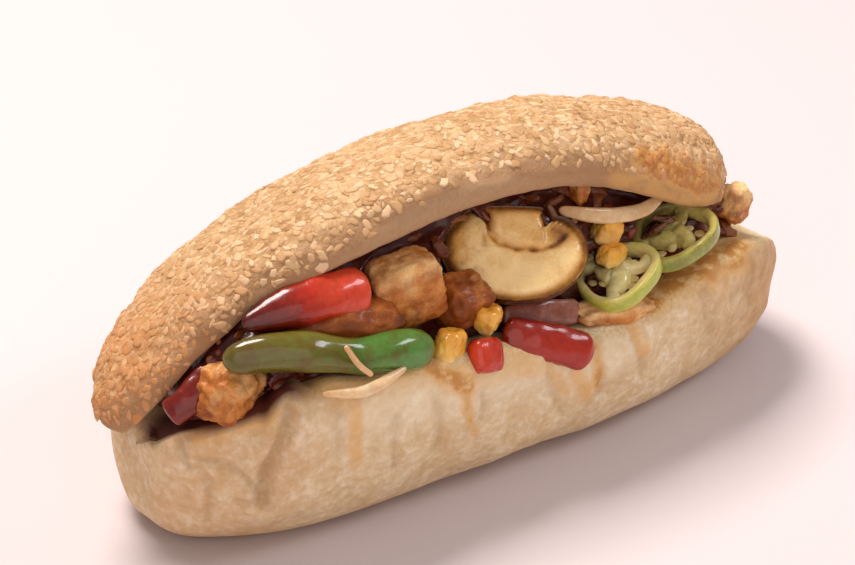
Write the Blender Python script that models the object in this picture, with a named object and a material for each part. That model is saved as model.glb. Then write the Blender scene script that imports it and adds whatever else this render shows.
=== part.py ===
"""A hot chicken sandwich: a long soft roll with an oat crust, cut along its front and hinged at its back. It is
filled with sauced chicken, peppers, a mushroom slice, onion and corn. Metres, +Z up, roll along X, mouth at -Y."""

import math
import random

import bmesh
import bpy
from mathutils import Euler, Matrix, Vector, noise

# Driving dimensions of the roll: the cut's height is at the hinge, and each half has its own ends along X
HALF_WIDTH = 0.039
CUT_HEIGHT = 0.043
BASE_SQUASH = 0.0025
TOP_RISE = 0.024
BOTTOM_ENDS = (-0.0925, 0.0993)
TOP_ENDS = (-0.1005, 0.083)
HINGE_Y = 0.028
LIP_RADIUS = 0.0035
RIM = 0.3 * LIP_RADIUS
TROUGH_DEPTH = 0.003
BASE_SQUARENESS = 0.67
TOP_SQUARENESS = 0.85
BOTTOM_BLUNTNESS = (3.0, 3.0)
TOP_BLUNTNESS = (1.8, 3.0)
NOSE_TIP = 0.25
NOSE_DROP = 2.2
LIP_DROP = 6.0
BUMP_DEPTH = 0.0012
BUMP_SIZE = 0.022

# Along X: how far the whole cut droops at the noses, how far its front edge stands above its hinge, how many
# degrees the top half is lifted, and how much of its full rise the top half has
DROOP_KNOTS = (
    (-0.098, -0.0170), (-0.092, -0.0100), (-0.086, -0.0080), (-0.078, -0.0052), (-0.068, -0.0014),
    (0.070, 0.0), (0.085, -0.0020), (0.094, -0.0065), (0.101, -0.0130),
)
EDGE_KNOTS = (
    (-0.094, 0.0020), (-0.089, 0.0085), (-0.083, 0.0090), (-0.062, 0.0081), (-0.035, 0.0055),
    (-0.010, 0.0015),
    (0.010, -0.0028), (0.033, -0.0050), (0.050, -0.0025), (0.066, 0.001), (0.101, -0.002),
)
LIFT_KNOTS = (
    (-0.098, 12.0), (-0.0945, 12.5), (-0.091, 14.5), (-0.087, 19.0), (-0.080, 24.0), (-0.060, 28.4),
    (-0.040, 31.0), (-0.010, 33.0), (0.016, 31.0), (0.034, 25.9), (0.060, 14.0), (0.087, 7.3),
)
RISE_KNOTS = (
    (-0.098, 0.70), (-0.091, 0.45), (-0.080, 0.40), (-0.065, 0.51), (-0.034, 0.92), (0.013, 1.06),
    (0.049, 1.13), (0.087, 0.85),
)

# Mesh steps along the roll and round each half of it
ROLL_STATIONS = 34
CRUST_STEPS = 16
CUT_STEPS = 6

# Oat flakes baked on the top crust
FLAKE_COUNT = 54
FLAKE_RADIUS = 0.0023
FLAKE_HEIGHT = 0.0007

# The filling shows towards this side, and its bed starts this far behind the roll's front edge
SHOWN_SIDE = Vector((-0.50, -0.71, 0.50))
BED_ENDS = (-0.086, 0.079)
BED_SETBACK = 0.010
SETBACK_KNOTS = ((-0.07, 0.45), (-0.03, 1.0), (0.079, 1.0))
CROWN_REACH = 0.93
BED_BACK_Y = 0.020
BED_BULGE = 0.0035
BED_LUMP = 0.0022
BED_STATIONS = 23

# Touching pieces keep this gap, so each blocker is grown by it before it cuts its neighbours
GAP = 0.0005

# Cut pieces lose edges between faces that lie flatter than this to each other
FLAT_ANGLE = math.radians(1.5)

# Puts the origin under the middle of the whole sandwich's box, on its support
ORIGIN_SHIFT = Vector((0.0006, 0.0009, 0.0))


def clear_scene():
    """Removes whatever the open scene holds."""
    for leftover in list(bpy.data.objects):
        bpy.data.objects.remove(leftover, do_unlink=True)


def make_material(name, colour, roughness):
    """A plain food material of one colour and roughness."""
    material = bpy.data.materials.new(name)
    material.use_nodes = True
    shader = material.node_tree.nodes["Principled BSDF"]
    shader.inputs["Base Color"].default_value = (*colour, 1.0)
    shader.inputs["Roughness"].default_value = roughness
    return material


def add_object(name, mesh, material, collection):
    """An object of this mesh and material in a collection."""
    mesh.materials.clear()
    mesh.materials.append(material)
    made = bpy.data.objects.new(name, mesh)
    made.location = ORIGIN_SHIFT
    collection.objects.link(made)
    return made


def follow(x, knots):
    """The value at x of a smooth curve through (position, value) knots, level beyond both ends."""
    if x <= knots[0][0]:
        return knots[0][1]
    if x >= knots[-1][0]:
        return knots[-1][1]
    index = max(i for i, knot in enumerate(knots[:-1]) if knot[0] <= x)
    before = knots[max(0, index - 1)]
    start, end = knots[index], knots[index + 1]
    after = knots[min(len(knots) - 1, index + 2)]
    span = end[0] - start[0]
    slope_in = span * (end[1] - before[1]) / (end[0] - before[0])
    slope_out = span * (after[1] - start[1]) / (after[0] - start[0])
    t = (x - start[0]) / span
    rise = t * t * (3.0 - 2.0 * t)
    bend_in = t * (1.0 - t) ** 2
    bend_out = t * t * (t - 1.0)
    return start[1] + (end[1] - start[1]) * rise + slope_in * bend_in + slope_out * bend_out


def signed_power(value, exponent):
    """The value raised to a power, keeping its sign: below 1 it squares off a circle's cosine and sine."""
    return math.copysign(abs(value) ** exponent, value)


def rounded(share, bluntness):
    """1 at share 0, falling to 0 at -1 and 1: an ellipse for bluntness 2, squarer above it."""
    return max(0.0, 1.0 - abs(share) ** bluntness) ** (1.0 / bluntness)


def nose(share, bluntness):
    """The bluntness at one side of the roll, from its left and right noses' own."""
    return bluntness[0] if share < 0.0 else bluntness[1]


def width_at(x, ends, bluntness):
    """Half the width of one half of the roll at x."""
    share = (2 * x - ends[0] - ends[1]) / (ends[1] - ends[0])
    return HALF_WIDTH * rounded(share, nose(share, bluntness))


def trough(across):
    """How far a cut face is hollowed at a place across it: 0 is its middle, -1 and 1 its edges."""
    return TROUGH_DEPTH * (1.0 - across**2)


def mesh_from(name, points, faces):
    """A mesh of these points and faces, facing outwards."""
    mesh = bpy.data.meshes.new(name)
    mesh.from_pydata(points, [], faces)
    shape = bmesh.new()
    shape.from_mesh(mesh)
    bmesh.ops.recalc_face_normals(shape, faces=shape.faces)
    shape.to_mesh(mesh)
    shape.free()
    return mesh


def loft(name, sections, closed=False):
    """A solid through equal rings of points, capped at both ends, or joined end to end if it is closed."""
    count = len(sections[0])
    points = [point for ring in sections for point in ring]
    faces = []
    for ring in range(len(sections) - (0 if closed else 1)):
        low = ring * count
        high = (ring + 1) % len(sections) * count
        for step in range(count):
            after = (step + 1) % count
            faces.append((low + step, low + after, high + after, high + step))
    if not closed:
        for ring in (0, len(sections) - 1):
            points.append(sum(sections[ring], Vector()) / count)
            for step in range(count):
                faces.append((ring * count + step, ring * count + (step + 1) % count, len(points) - 1))
    return mesh_from(name, points, faces)


def lumps(point, size, seed=0.0):
    """A smooth uneven value between about -1 and 1, with lumps about size across."""
    return noise.noise(Vector(point) / size + Vector((seed, seed, seed)))


def hinge_height(x):
    """The height of the cut at the hinge."""
    return CUT_HEIGHT + follow(x, DROOP_KNOTS)


def bottom_point(x, y, h):
    """Where a point of the bottom half lies, h below its cut: the base is squashed flat on its support."""
    reach = max(0.0, HINGE_Y - y) / (HINGE_Y + HALF_WIDTH)
    tall = hinge_height(x) + follow(x, EDGE_KNOTS) * reach + BASE_SQUASH
    return Vector((x, y, max(0.0, tall * (1.0 - h / (CUT_HEIGHT + BASE_SQUASH)) - BASE_SQUASH)))


def top_point(x, y, h):
    """Where a point of the top half lies, h above its cut, once the half has turned about the hinge."""
    lift = math.radians(follow(x, LIFT_KNOTS))
    reach = HINGE_Y - y
    return Vector(
        (
            x,
            HINGE_Y - reach * math.cos(lift) + h * math.sin(lift),
            hinge_height(x) + reach * math.sin(lift) + h * math.cos(lift),
        )
    )


def half_section(rise, squareness):
    """The (y, h) outline of one half: crust from the front lip over to the back, then the hollowed cut face."""
    outline = []
    for step in range(CRUST_STEPS + 1):
        turn = math.pi * step / CRUST_STEPS
        across = -signed_power(math.cos(turn), squareness)
        up = math.sin(turn) ** squareness
        outline.append((HALF_WIDTH * across, LIP_RADIUS + (rise - LIP_RADIUS) * up))
    for step in range(CUT_STEPS + 1):
        across = 1.0 - 2.0 * step / CUT_STEPS
        lip = RIM if abs(across) == 1.0 else 0.0
        outline.append(((HALF_WIDTH - RIM) * across, lip - trough(across)))
    return [(y, h if h >= 0.0 else -h) for y, h in outline]


def build_half(name, place, ends, rise, squareness, bluntness, rise_knots=((0.0, 1.0),)):
    """The mesh of the bottom or the top half of the roll, each nose closing in to its tip near the cut."""
    middle = (ends[0] + ends[1]) / 2
    tip = NOSE_TIP * rise
    sections = []
    for station in range(ROLL_STATIONS + 1):
        share = 0.9995 * math.sin(math.pi * (station / ROLL_STATIONS - 0.5))
        x = middle + share * (ends[1] - ends[0]) / 2
        ring = []
        for y, h in half_section(rise, squareness):
            if h > tip:
                closing = rounded(share, NOSE_DROP * nose(share, bluntness)) * follow(x, rise_knots)
            else:
                closing = rounded(share, LIP_DROP)
            depth = tip + (h - tip) * closing
            across = y * rounded(share, nose(share, bluntness))
            swell = BUMP_DEPTH * lumps((x, y, h), BUMP_SIZE, rise) * min(1.0, h / tip)
            ring.append(place(x, across * (1.0 + swell / HALF_WIDTH), depth + swell * (h / rise)))
        sections.append(ring)
    return loft(name, sections)


def build_roll(collection):
    """The hinged roll: both halves joined where the uncut strip runs along the back."""
    crust = make_material("oat_crust", (0.74, 0.46, 0.22), 0.75)
    bottom_rise = CUT_HEIGHT + BASE_SQUASH
    roll = add_object(
        "bread_roll",
        build_half("bread_roll", bottom_point, BOTTOM_ENDS, bottom_rise, BASE_SQUARENESS, BOTTOM_BLUNTNESS),
        crust,
        collection,
    )
    top = add_object(
        "roll_top",
        build_half("roll_top", top_point, TOP_ENDS, TOP_RISE, TOP_SQUARENESS, TOP_BLUNTNESS, RISE_KNOTS),
        crust,
        collection,
    )
    join(roll, [top])
    return roll


def flake(index, draw):
    """The mesh of one oat flake, its foot sunk in the top crust at a random place."""
    middle = (TOP_ENDS[0] + TOP_ENDS[1]) / 2
    half_length = (TOP_ENDS[1] - TOP_ENDS[0]) / 2
    share = draw.uniform(-0.9, 0.9)
    x = middle + share * half_length
    blunt = nose(share, TOP_BLUNTNESS)
    turn = draw.uniform(0.12, 0.80) * math.pi
    radius = FLAKE_RADIUS * draw.uniform(0.7, 1.2)

    def on_crust(along, around, out):
        angle = turn + around / (0.7 * HALF_WIDTH)
        place = share + along / half_length
        across = -signed_power(math.cos(angle), TOP_SQUARENESS) * rounded(place, blunt)
        up = max(0.0, math.sin(angle)) ** TOP_SQUARENESS
        tip = NOSE_TIP * TOP_RISE
        closing = rounded(place, NOSE_DROP * blunt) * follow(x, RISE_KNOTS)
        depth = tip + (LIP_RADIUS + (TOP_RISE - LIP_RADIUS) * up - tip) * closing
        leaning = Vector((-math.cos(angle), math.sin(angle))) * out
        return top_point(x + along, HALF_WIDTH * across + leaning.x, depth + leaning.y)

    rings = []
    for out, size in ((-0.0012, 1.0), (FLAKE_HEIGHT, 0.9)):
        ring = []
        for side in range(6):
            angle = math.tau * side / 6 + index
            ring.append(on_crust(radius * size * math.cos(angle), 0.7 * radius * size * math.sin(angle), out))
        rings.append(ring)
    return loft("flake", rings)


def smooth_route(route, steps):
    """Evenly spread points on a smooth curve through the route's points."""
    distances = [0.0]
    for before, after in zip(route, route[1:]):
        distances.append(distances[-1] + (Vector(after) - Vector(before)).length)
    lines = [[(far, point[axis]) for far, point in zip(distances, route)] for axis in range(3)]
    return [
        Vector([follow(distances[-1] * step / steps, line) for line in lines]) for step in range(steps + 1)
    ]


def strip(name, route, half_width, half_depth, girth, bow=0.0, facing=SHOWN_SIDE, steps=10, sides=8):
    """A cut strip along a route: girth gives its share of full size along it, and bow curls its section."""
    points = smooth_route(route, steps)
    sections = []
    for step, point in enumerate(points):
        along = (points[min(step + 1, steps)] - points[max(step - 1, 0)]).normalized()
        across = along.cross(facing).normalized()
        out = across.cross(along)
        size = follow(step / steps, girth)
        ring = []
        for side in range(sides):
            turn = math.tau * side / sides
            wide = signed_power(math.cos(turn), 0.8)
            deep = signed_power(math.sin(turn), 0.8)
            offset = half_depth * size * deep - bow * size * wide * wide
            ring.append(point + across * (half_width * size * wide) + out * offset)
        sections.append(ring)
    return loft(name, sections)


def chunk(name, centre, half_size, tilt, seed, subdivisions, squareness=3.2, roughness=0.16):
    """A rough cut lump, such as diced chicken, or a kernel: a boxy ball with uneven sides."""
    shape = bmesh.new()
    bmesh.ops.create_icosphere(shape, subdivisions=subdivisions, radius=1.0)
    turned = Matrix.Translation(centre) @ Euler([math.radians(angle) for angle in tilt]).to_matrix().to_4x4()
    for vertex in shape.verts:
        direction = vertex.co.normalized()
        boxy = sum(abs(part) ** squareness for part in direction) ** (-1.0 / squareness)
        uneven = 1.0 + roughness * (lumps(direction, 0.7, seed) + 0.5 * lumps(direction, 0.3, seed))
        place = direction * boxy * uneven
        vertex.co = turned @ Vector(part * half for part, half in zip(place, half_size))
    mesh = bpy.data.meshes.new(name)
    shape.to_mesh(mesh)
    shape.free()
    return mesh


def facing_frame(centre, normal, along=Vector((0.819, -0.574, 0.0))):
    """The matrix of a flat piece: local Z along its normal, local X as near as can be to the given direction."""
    up = Vector(normal).normalized()
    side = (along - up * along.dot(up)).normalized()
    turned = Matrix((side, up.cross(side), up)).transposed()
    return Matrix.Translation(centre) @ turned.to_4x4()


def mushroom_outline():
    """The slice's outline seen flat, cap downwards and stem up, with a notch on each side of the stem."""
    half_width, half_height, centre_y = 0.0185, 0.0128, 0.0006
    outline = []
    for step in range(19):
        angle = math.radians(138 + 262 * step / 18)
        outline.append((half_width * math.cos(angle), centre_y + half_height * math.sin(angle)))
    lobe, notch, stem, stem_top = 0.0112, 0.0085, 0.0072, 0.0121
    outline += [(lobe, 0.0098), (notch, 0.0078), (stem, 0.0105), (stem - 0.0010, stem_top)]
    outline += [(1.0e-3 - stem, stem_top), (-stem, 0.0105), (-notch, 0.0082), (-lobe, 0.0112)]
    return outline


def mushroom(name, centre, normal, thickness):
    """A lengthwise mushroom slice with softened rims."""
    frame = facing_frame(centre, normal)
    outline = mushroom_outline()
    points = []
    for height, size in ((-0.5, 0.94), (-0.3, 1.0), (0.3, 1.0), (0.5, 0.955)):
        points += [frame @ Vector((x * size, y * size, height * thickness)) for x, y in outline]
    count = len(outline)
    faces = [tuple(range(count)), tuple(range(3 * count, 4 * count))]
    for low in range(0, 3 * count, count):
        for step in range(count):
            after = (step + 1) % count
            faces.append((low + step, low + after, low + count + after, low + count + step))
    return mesh_from(name, points, faces)


def pepper_ring(name, centre, normal, radius, wall, height, seed, material, collection):
    """A hot pepper cut across: an uneven ring of flesh with a three-armed core and seeds inside."""
    frame = facing_frame(centre, normal)
    sections = []
    for step in range(22):
        turn = math.tau * step / 22
        outer = radius * (1.0 + 0.06 * math.sin(3 * turn + seed) + 0.03 * math.sin(2 * turn))
        ring = []
        for side in range(6):
            angle = math.tau * side / 6
            across = outer - wall / 2 + wall / 2 * signed_power(math.cos(angle), 0.6)
            up = height / 2 * signed_power(math.sin(angle), 0.6)
            ring.append(frame @ Vector((across * math.cos(turn), across * math.sin(turn), up)))
        sections.append(ring)
    made = add_object(name, loft(name, sections, closed=True), material, collection)
    core = []
    for arm in range(3):
        turn = math.tau * arm / 3 + seed
        tip = Vector((math.cos(turn), math.sin(turn), 0.0)) * (radius - 0.5 * wall)
        route = [frame @ (tip * share) for share in (-0.15, 0.45, 1.0)]
        up = frame.col[2].xyz
        mesh = strip("arm", route, 0.0007, 0.3 * height, ((0, 1.2), (1, 1)), facing=up, steps=4, sides=6)
        core.append(add_object("arm", mesh, material, collection))
        seed_place = frame @ (Vector((math.cos(turn + 0.55), math.sin(turn + 0.55), 0.04)) * 0.36 * radius)
        grain = chunk("seed", seed_place, (0.0017, 0.0014, 0.0009), (20 * arm, 15, 60 * arm), arm, 1, 2.0, 0.0)
        core.append(add_object("seed", grain, material, collection))
    join(made, core)
    return made


def cut_height(x, y):
    """The height of the bottom half's hollowed cut face."""
    return bottom_point(x, y, 0.0).z - trough(min(1.0, abs(y) / width_at(x, BOTTOM_ENDS, BOTTOM_BLUNTNESS)))


def build_bed(collection):
    """The heap of saucy filling under the pieces that show, filling the wedge between the two cut faces."""
    sections = []
    for station in range(BED_STATIONS + 1):
        share = station / BED_STATIONS * 2.0 - 1.0
        x = BED_ENDS[0] + (BED_ENDS[1] - BED_ENDS[0]) * station / BED_STATIONS
        top_width = width_at(x, TOP_ENDS, TOP_BLUNTNESS)
        foot_y = BED_SETBACK * follow(x, SETBACK_KNOTS) - width_at(x, BOTTOM_ENDS, BOTTOM_BLUNTNESS)
        crown_y = max(HINGE_Y - CROWN_REACH * (HINGE_Y - foot_y), -CROWN_REACH * top_width)
        closing = max(0.25, rounded(share, 6.0))
        ring = []
        roof = []
        for step in range(7):
            y = BED_BACK_Y + (foot_y - BED_BACK_Y) * step / 6
            ring.append(Vector((x, y, cut_height(x, y) + GAP)))
            y = crown_y + (BED_BACK_Y - crown_y) * step / 6
            roof.append(top_point(x, y, trough(min(1.0, abs(y) / top_width)) - GAP))
        foot = ring[-1]
        for step in range(1, 6):
            level = step / 6
            bulge = BED_BULGE * math.sin(math.pi * level) + BED_LUMP * lumps((x, 0.0, level * 0.03), 0.008)
            ring.append(foot.lerp(roof[0], level) + SHOWN_SIDE * bulge * closing)
        sections.append(ring + roof)
    sauce = make_material("saucy_filling", (0.23, 0.06, 0.02), 0.4)
    return add_object("filling_bed", loft("filling_bed", sections), sauce, collection)


def join(target, pieces):
    """Fuses the pieces into the target with one Boolean union, and removes them."""
    combine(target, pieces, "UNION")
    for piece in pieces:
        bpy.data.objects.remove(piece, do_unlink=True)


def combine(target, others, operation):
    """Applies one Boolean of a whole group of objects to the target."""
    group = bpy.data.collections.new(target.name + "_group")
    for other in others:
        group.objects.link(other)
    boolean = target.modifiers.new("combine", "BOOLEAN")
    boolean.operation = operation
    boolean.operand_type = "COLLECTION"
    boolean.collection = group
    graph = bpy.context.evaluated_depsgraph_get()
    mesh = bpy.data.meshes.new_from_object(target.evaluated_get(graph))
    target.modifiers.clear()
    target.data = mesh
    bpy.data.collections.remove(group)


def grown(target, distance, cutters):
    """A copy of the target's mesh, every point moved outwards: it cuts its neighbours clear of the target."""
    shape = bmesh.new()
    shape.from_mesh(target.data)
    shape.normal_update()
    for vertex, normal in [(vertex, vertex.normal.copy()) for vertex in shape.verts]:
        vertex.co += normal * distance
    mesh = bpy.data.meshes.new(target.name + "_grown")
    shape.to_mesh(mesh)
    shape.free()
    cutter = bpy.data.objects.new(target.name + "_grown", mesh)
    cutter.location = ORIGIN_SHIFT
    cutter.hide_render = True
    cutter.display_type = "WIRE"
    cutters.objects.link(cutter)
    return cutter


def bounds(target):
    """The lowest and highest corner of an object's mesh."""
    points = [vertex.co for vertex in target.data.vertices]
    return [[pick(point[axis] for point in points) for axis in range(3)] for pick in (min, max)]


def near(first, second):
    """Whether two objects' boxes meet."""
    low, high = bounds(first)
    other_low, other_high = bounds(second)
    return all(low[axis] < other_high[axis] and high[axis] > other_low[axis] for axis in range(3))


def keep_largest(target):
    """Leaves only the largest loose part of the mesh, without slivers."""
    shape = bmesh.new()
    shape.from_mesh(target.data)
    bmesh.ops.remove_doubles(shape, verts=shape.verts, dist=0.00002)
    bmesh.ops.dissolve_limit(shape, angle_limit=FLAT_ANGLE, verts=shape.verts, edges=shape.edges)
    bmesh.ops.triangulate(shape, faces=shape.faces)
    waiting = set(shape.faces)
    islands = []
    while waiting:
        island = set()
        reached = [waiting.pop()]
        while reached:
            face = reached.pop()
            island.add(face)
            for edge in face.edges:
                for neighbour in edge.link_faces:
                    if neighbour in waiting:
                        waiting.remove(neighbour)
                        reached.append(neighbour)
        islands.append(island)
    largest = max(islands, key=lambda island: sum(face.calc_area() for face in island))
    scraps = [face for face in shape.faces if face not in largest]
    bmesh.ops.delete(shape, geom=scraps, context="FACES")
    shape.to_mesh(target.data)
    shape.free()


def nest(piece, blockers, cutters):
    """Cuts a piece clear of what it leans on, and adds it to what the next pieces must clear."""
    touching = [blocker for blocker in blockers if near(piece, blocker)]
    if touching:
        combine(piece, touching, "DIFFERENCE")
        keep_largest(piece)
    blockers.append(grown(piece, GAP, cutters))


def build_filling(collection):
    """Every piece that shows in the mouth, from the front ones to those behind."""
    chili_skin = make_material("green_chili_skin", (0.08, 0.16, 0.03), 0.25)
    ring_flesh = make_material("light_chili_flesh", (0.42, 0.45, 0.10), 0.35)
    dark_ring_flesh = make_material("dark_chili_flesh", (0.20, 0.26, 0.05), 0.35)
    red_flesh = make_material("red_pepper_flesh", (0.48, 0.03, 0.01), 0.3)
    mushroom_flesh = make_material("mushroom_flesh", (0.80, 0.55, 0.28), 0.45)
    chicken = make_material("sauced_chicken", (0.45, 0.18, 0.05), 0.4)
    onion = make_material("onion_flesh", (0.75, 0.50, 0.24), 0.3)
    red_onion = make_material("red_onion_flesh", (0.30, 0.09, 0.06), 0.3)
    corn = make_material("corn_skin", (0.85, 0.45, 0.05), 0.3)
    even = ((0, 0.8), (0.08, 1.0), (0.92, 1.0), (1, 0.8))
    pieces = []

    def strips(name, material, route, half_width, half_depth, girth=even, **shape):
        mesh = strip(name, route, half_width, half_depth, girth, **shape)
        pieces.append(add_object(name, mesh, material, collection))

    def dice(name, centre, half_size, tilt, seed, subdivisions=2, squareness=3.2):
        mesh = chunk(name, centre, half_size, tilt, seed, subdivisions, squareness)
        pieces.append(add_object(name, mesh, chicken, collection))

    def kernel(name, centre, half_size, tilt, seed):
        mesh = chunk(name, centre, half_size, tilt, seed, 2)
        pieces.append(add_object(name, mesh, corn, collection))

    strips(
        "green_chili", chili_skin,
        ((-0.081, -0.025, 0.059), (-0.071, -0.0285, 0.0595), (-0.060, -0.0315, 0.0575),
         (-0.049, -0.0335, 0.0535), (-0.038, -0.0345, 0.0518), (-0.028, -0.0345, 0.0490)),
        0.0050, 0.0046,
        ((0, 0.55), (0.1, 0.85), (0.35, 1.0), (0.57, 0.86), (0.8, 1.03), (0.95, 0.9), (1, 0.6)),
        steps=18, sides=10,
    )
    mushroom_place = (0.0038, -0.0250, 0.0600)
    mesh = mushroom("mushroom_slice", mushroom_place, (-0.35, -0.60, 0.72), 0.0055)
    pieces.append(add_object("mushroom_slice", mesh, mushroom_flesh, collection))
    pieces.append(
        pepper_ring(
            "jalapeno_ring_1", (0.0335, -0.0295, 0.0465), (-0.32, -0.02, 0.95), 0.0112, 0.0026, 0.0045, 0.4,
            ring_flesh, collection,
        )
    )
    pieces.append(
        pepper_ring(
            "jalapeno_ring_2", (0.0545, -0.0260, 0.0500), (-0.30, -0.05, 0.95), 0.0115, 0.0026, 0.0045, 1.3,
            dark_ring_flesh, collection,
        )
    )
    strips(
        "red_pepper_strip_3", red_flesh, ((-0.0190, -0.0385, 0.0450), (-0.0100, -0.0375, 0.0425)), 0.0042, 0.0030,
    )
    strips(
        "red_pepper_strip_4", red_flesh,
        ((-0.006, -0.034, 0.045), (0.005, -0.0385, 0.0410), (0.016, -0.0425, 0.0358)), 0.0048, 0.0021,
        bow=0.001,
    )
    kernel("corn_kernel_1", (-0.0225, -0.0345, 0.0475), (0.0040, 0.0032, 0.0046), (0, 20, 10), 1)
    kernel("corn_kernel_2", (-0.0092, -0.0320, 0.0498), (0.0038, 0.0030, 0.0036), (10, 0, 30), 2)
    strips(
        "onion_strip_2", onion,
        ((-0.0625, -0.0392, 0.0506), (-0.0510, -0.0404, 0.0480), (-0.0385, -0.0392, 0.0495)), 0.0018, 0.0009,
        ((0, 0.5), (0.3, 1.0), (0.7, 1.1), (1, 0.5)), sides=8,
    )
    strips(
        "onion_strand", onion,
        ((-0.0545, -0.0370, 0.0600), (-0.0525, -0.0396, 0.0555), (-0.0490, -0.0402, 0.0515)), 0.0007, 0.0006,
        steps=8, sides=6,
    )
    dice("chicken_chunk_1", (-0.0770, -0.0215, 0.0480), (0.0088, 0.0062, 0.0070), (10, 12, 20), 3, 3)
    strips(
        "red_pepper_strip_1", red_flesh,
        ((-0.0740, -0.0230, 0.0655), (-0.0600, -0.0255, 0.0675), (-0.0500, -0.0265, 0.0672),
         (-0.0405, -0.0265, 0.0660)),
        0.0060, 0.0026, ((0, 0.6), (0.3, 0.85), (0.8, 1.0), (0.95, 0.97), (1, 0.75)), bow=0.0018,
    )
    dice("chicken_chunk_2", (-0.0285, -0.0240, 0.0605), (0.0090, 0.0064, 0.0088), (5, -12, -15), 4, 3, 5.0)
    dice("chicken_chunk_5", (0.0290, -0.0335, 0.0400), (0.0105, 0.0045, 0.0026), (0, 6, -8), 5)
    strips(
        "onion_strip_1", onion,
        ((0.0200, -0.0220, 0.0665), (0.0309, -0.0250, 0.0628), (0.0431, -0.0260, 0.0608),
         (0.0515, -0.0255, 0.0628)),
        0.0020, 0.0009, ((0, 0.6), (0.3, 1.0), (0.8, 0.9), (1, 0.4)), sides=8,
    )
    strips(
        "red_onion_strip", red_onion,
        ((-0.003, -0.0300, 0.0465), (0.008, -0.0315, 0.0450), (0.0195, -0.0320, 0.0420)), 0.0032, 0.0011,
    )
    kernel("corn_kernel_3", (0.0345, -0.0235, 0.0567), (0.0038, 0.0032, 0.0042), (0, 30, 0), 6)
    kernel("corn_kernel_4", (0.0330, -0.0275, 0.0520), (0.0046, 0.0030, 0.0028), (0, 10, 20), 7)
    dice("chicken_chunk_6", (0.0790, -0.0215, 0.0500), (0.0038, 0.0036, 0.0050), (0, 20, 30), 8)
    dice("chicken_chunk_4", (-0.0139, -0.0270, 0.0540), (0.0065, 0.0060, 0.0065), (20, 0, 10), 9)
    dice("chicken_chunk_3", (-0.0470, -0.0255, 0.0570), (0.0150, 0.0060, 0.0065), (0, 5, -8), 10)
    dice("chicken_chunk_7", (0.0280, -0.0200, 0.0695), (0.0023, 0.0023, 0.0042), (0, 5, 0), 11)
    strips(
        "red_pepper_strip_2", red_flesh,
        ((-0.0915, -0.0165, 0.0435), (-0.0870, -0.0185, 0.0470), (-0.0795, -0.0170, 0.0520)), 0.0036, 0.0026,
    )
    return pieces


def main():
    clear_scene()
    collection = bpy.data.collections.new("chicken_sandwich")
    cutters = bpy.data.collections.new("cutters")
    bpy.context.scene.collection.children.link(collection)
    bpy.context.scene.collection.children.link(cutters)
    roll = build_roll(collection)
    blockers = [grown(roll, GAP, cutters)]
    for piece in build_filling(collection):
        nest(piece, blockers, cutters)
    bed = build_bed(collection)
    nest(bed, blockers, cutters)
    draw = random.Random(7)
    crust = roll.data.materials[0]
    join(roll, [add_object("flake", flake(index, draw), crust, collection) for index in range(FLAKE_COUNT)])


main()
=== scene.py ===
"""The look of a hot chicken sandwich: a soft oat roll, cut along its front, hinged at its back and filled
with sauced chicken, peppers, a mushroom slice, onion and corn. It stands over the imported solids, in metres."""

import math
import random

import bmesh
import bpy
import numpy as np
from mathutils import Euler, Matrix, Vector, noise
from mathutils.bvhtree import BVHTree


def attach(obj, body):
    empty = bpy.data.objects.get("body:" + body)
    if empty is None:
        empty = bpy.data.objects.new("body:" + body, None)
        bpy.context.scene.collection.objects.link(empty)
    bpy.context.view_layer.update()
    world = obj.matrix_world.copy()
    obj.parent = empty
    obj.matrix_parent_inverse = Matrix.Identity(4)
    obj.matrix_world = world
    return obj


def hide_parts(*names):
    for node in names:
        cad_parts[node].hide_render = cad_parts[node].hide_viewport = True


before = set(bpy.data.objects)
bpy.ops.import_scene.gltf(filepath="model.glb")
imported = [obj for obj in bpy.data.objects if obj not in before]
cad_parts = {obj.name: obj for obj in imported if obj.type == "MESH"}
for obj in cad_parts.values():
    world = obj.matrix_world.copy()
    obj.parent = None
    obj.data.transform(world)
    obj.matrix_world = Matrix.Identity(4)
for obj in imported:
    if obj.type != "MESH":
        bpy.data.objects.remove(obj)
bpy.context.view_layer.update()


# The roll: one soft wheat roll, proved long and baked until its crust sets. It is cut along its front and
# left whole along its back, so it opens like a book, and the filling holds the top half up. The lower half
# stands flat on its floured base, with handled, wrinkled sides, and the top half carries the oats.
HALF_WIDTH = 0.039
CUT_HEIGHT = 0.043
BASE_SQUASH = 0.0025
TOP_RISE = 0.024
BOTTOM_ENDS = (-0.0925, 0.0993)
TOP_ENDS = (-0.1005, 0.083)
HINGE_Y = 0.028
LIP_RADIUS = 0.0035
RIM = 0.3 * LIP_RADIUS
TROUGH_DEPTH = 0.003
BASE_SQUARENESS = 0.67
TOP_SQUARENESS = 0.85
BOTTOM_BLUNTNESS = (3.0, 3.0)
TOP_BLUNTNESS = (1.8, 3.0)
NOSE_TIP = 0.25
NOSE_DROP = 2.2
LIP_DROP = 6.0
BUMP_DEPTH = 0.0012
BUMP_SIZE = 0.022
ORIGIN_SHIFT = Vector((0.0006, 0.0009, 0.0))

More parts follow.
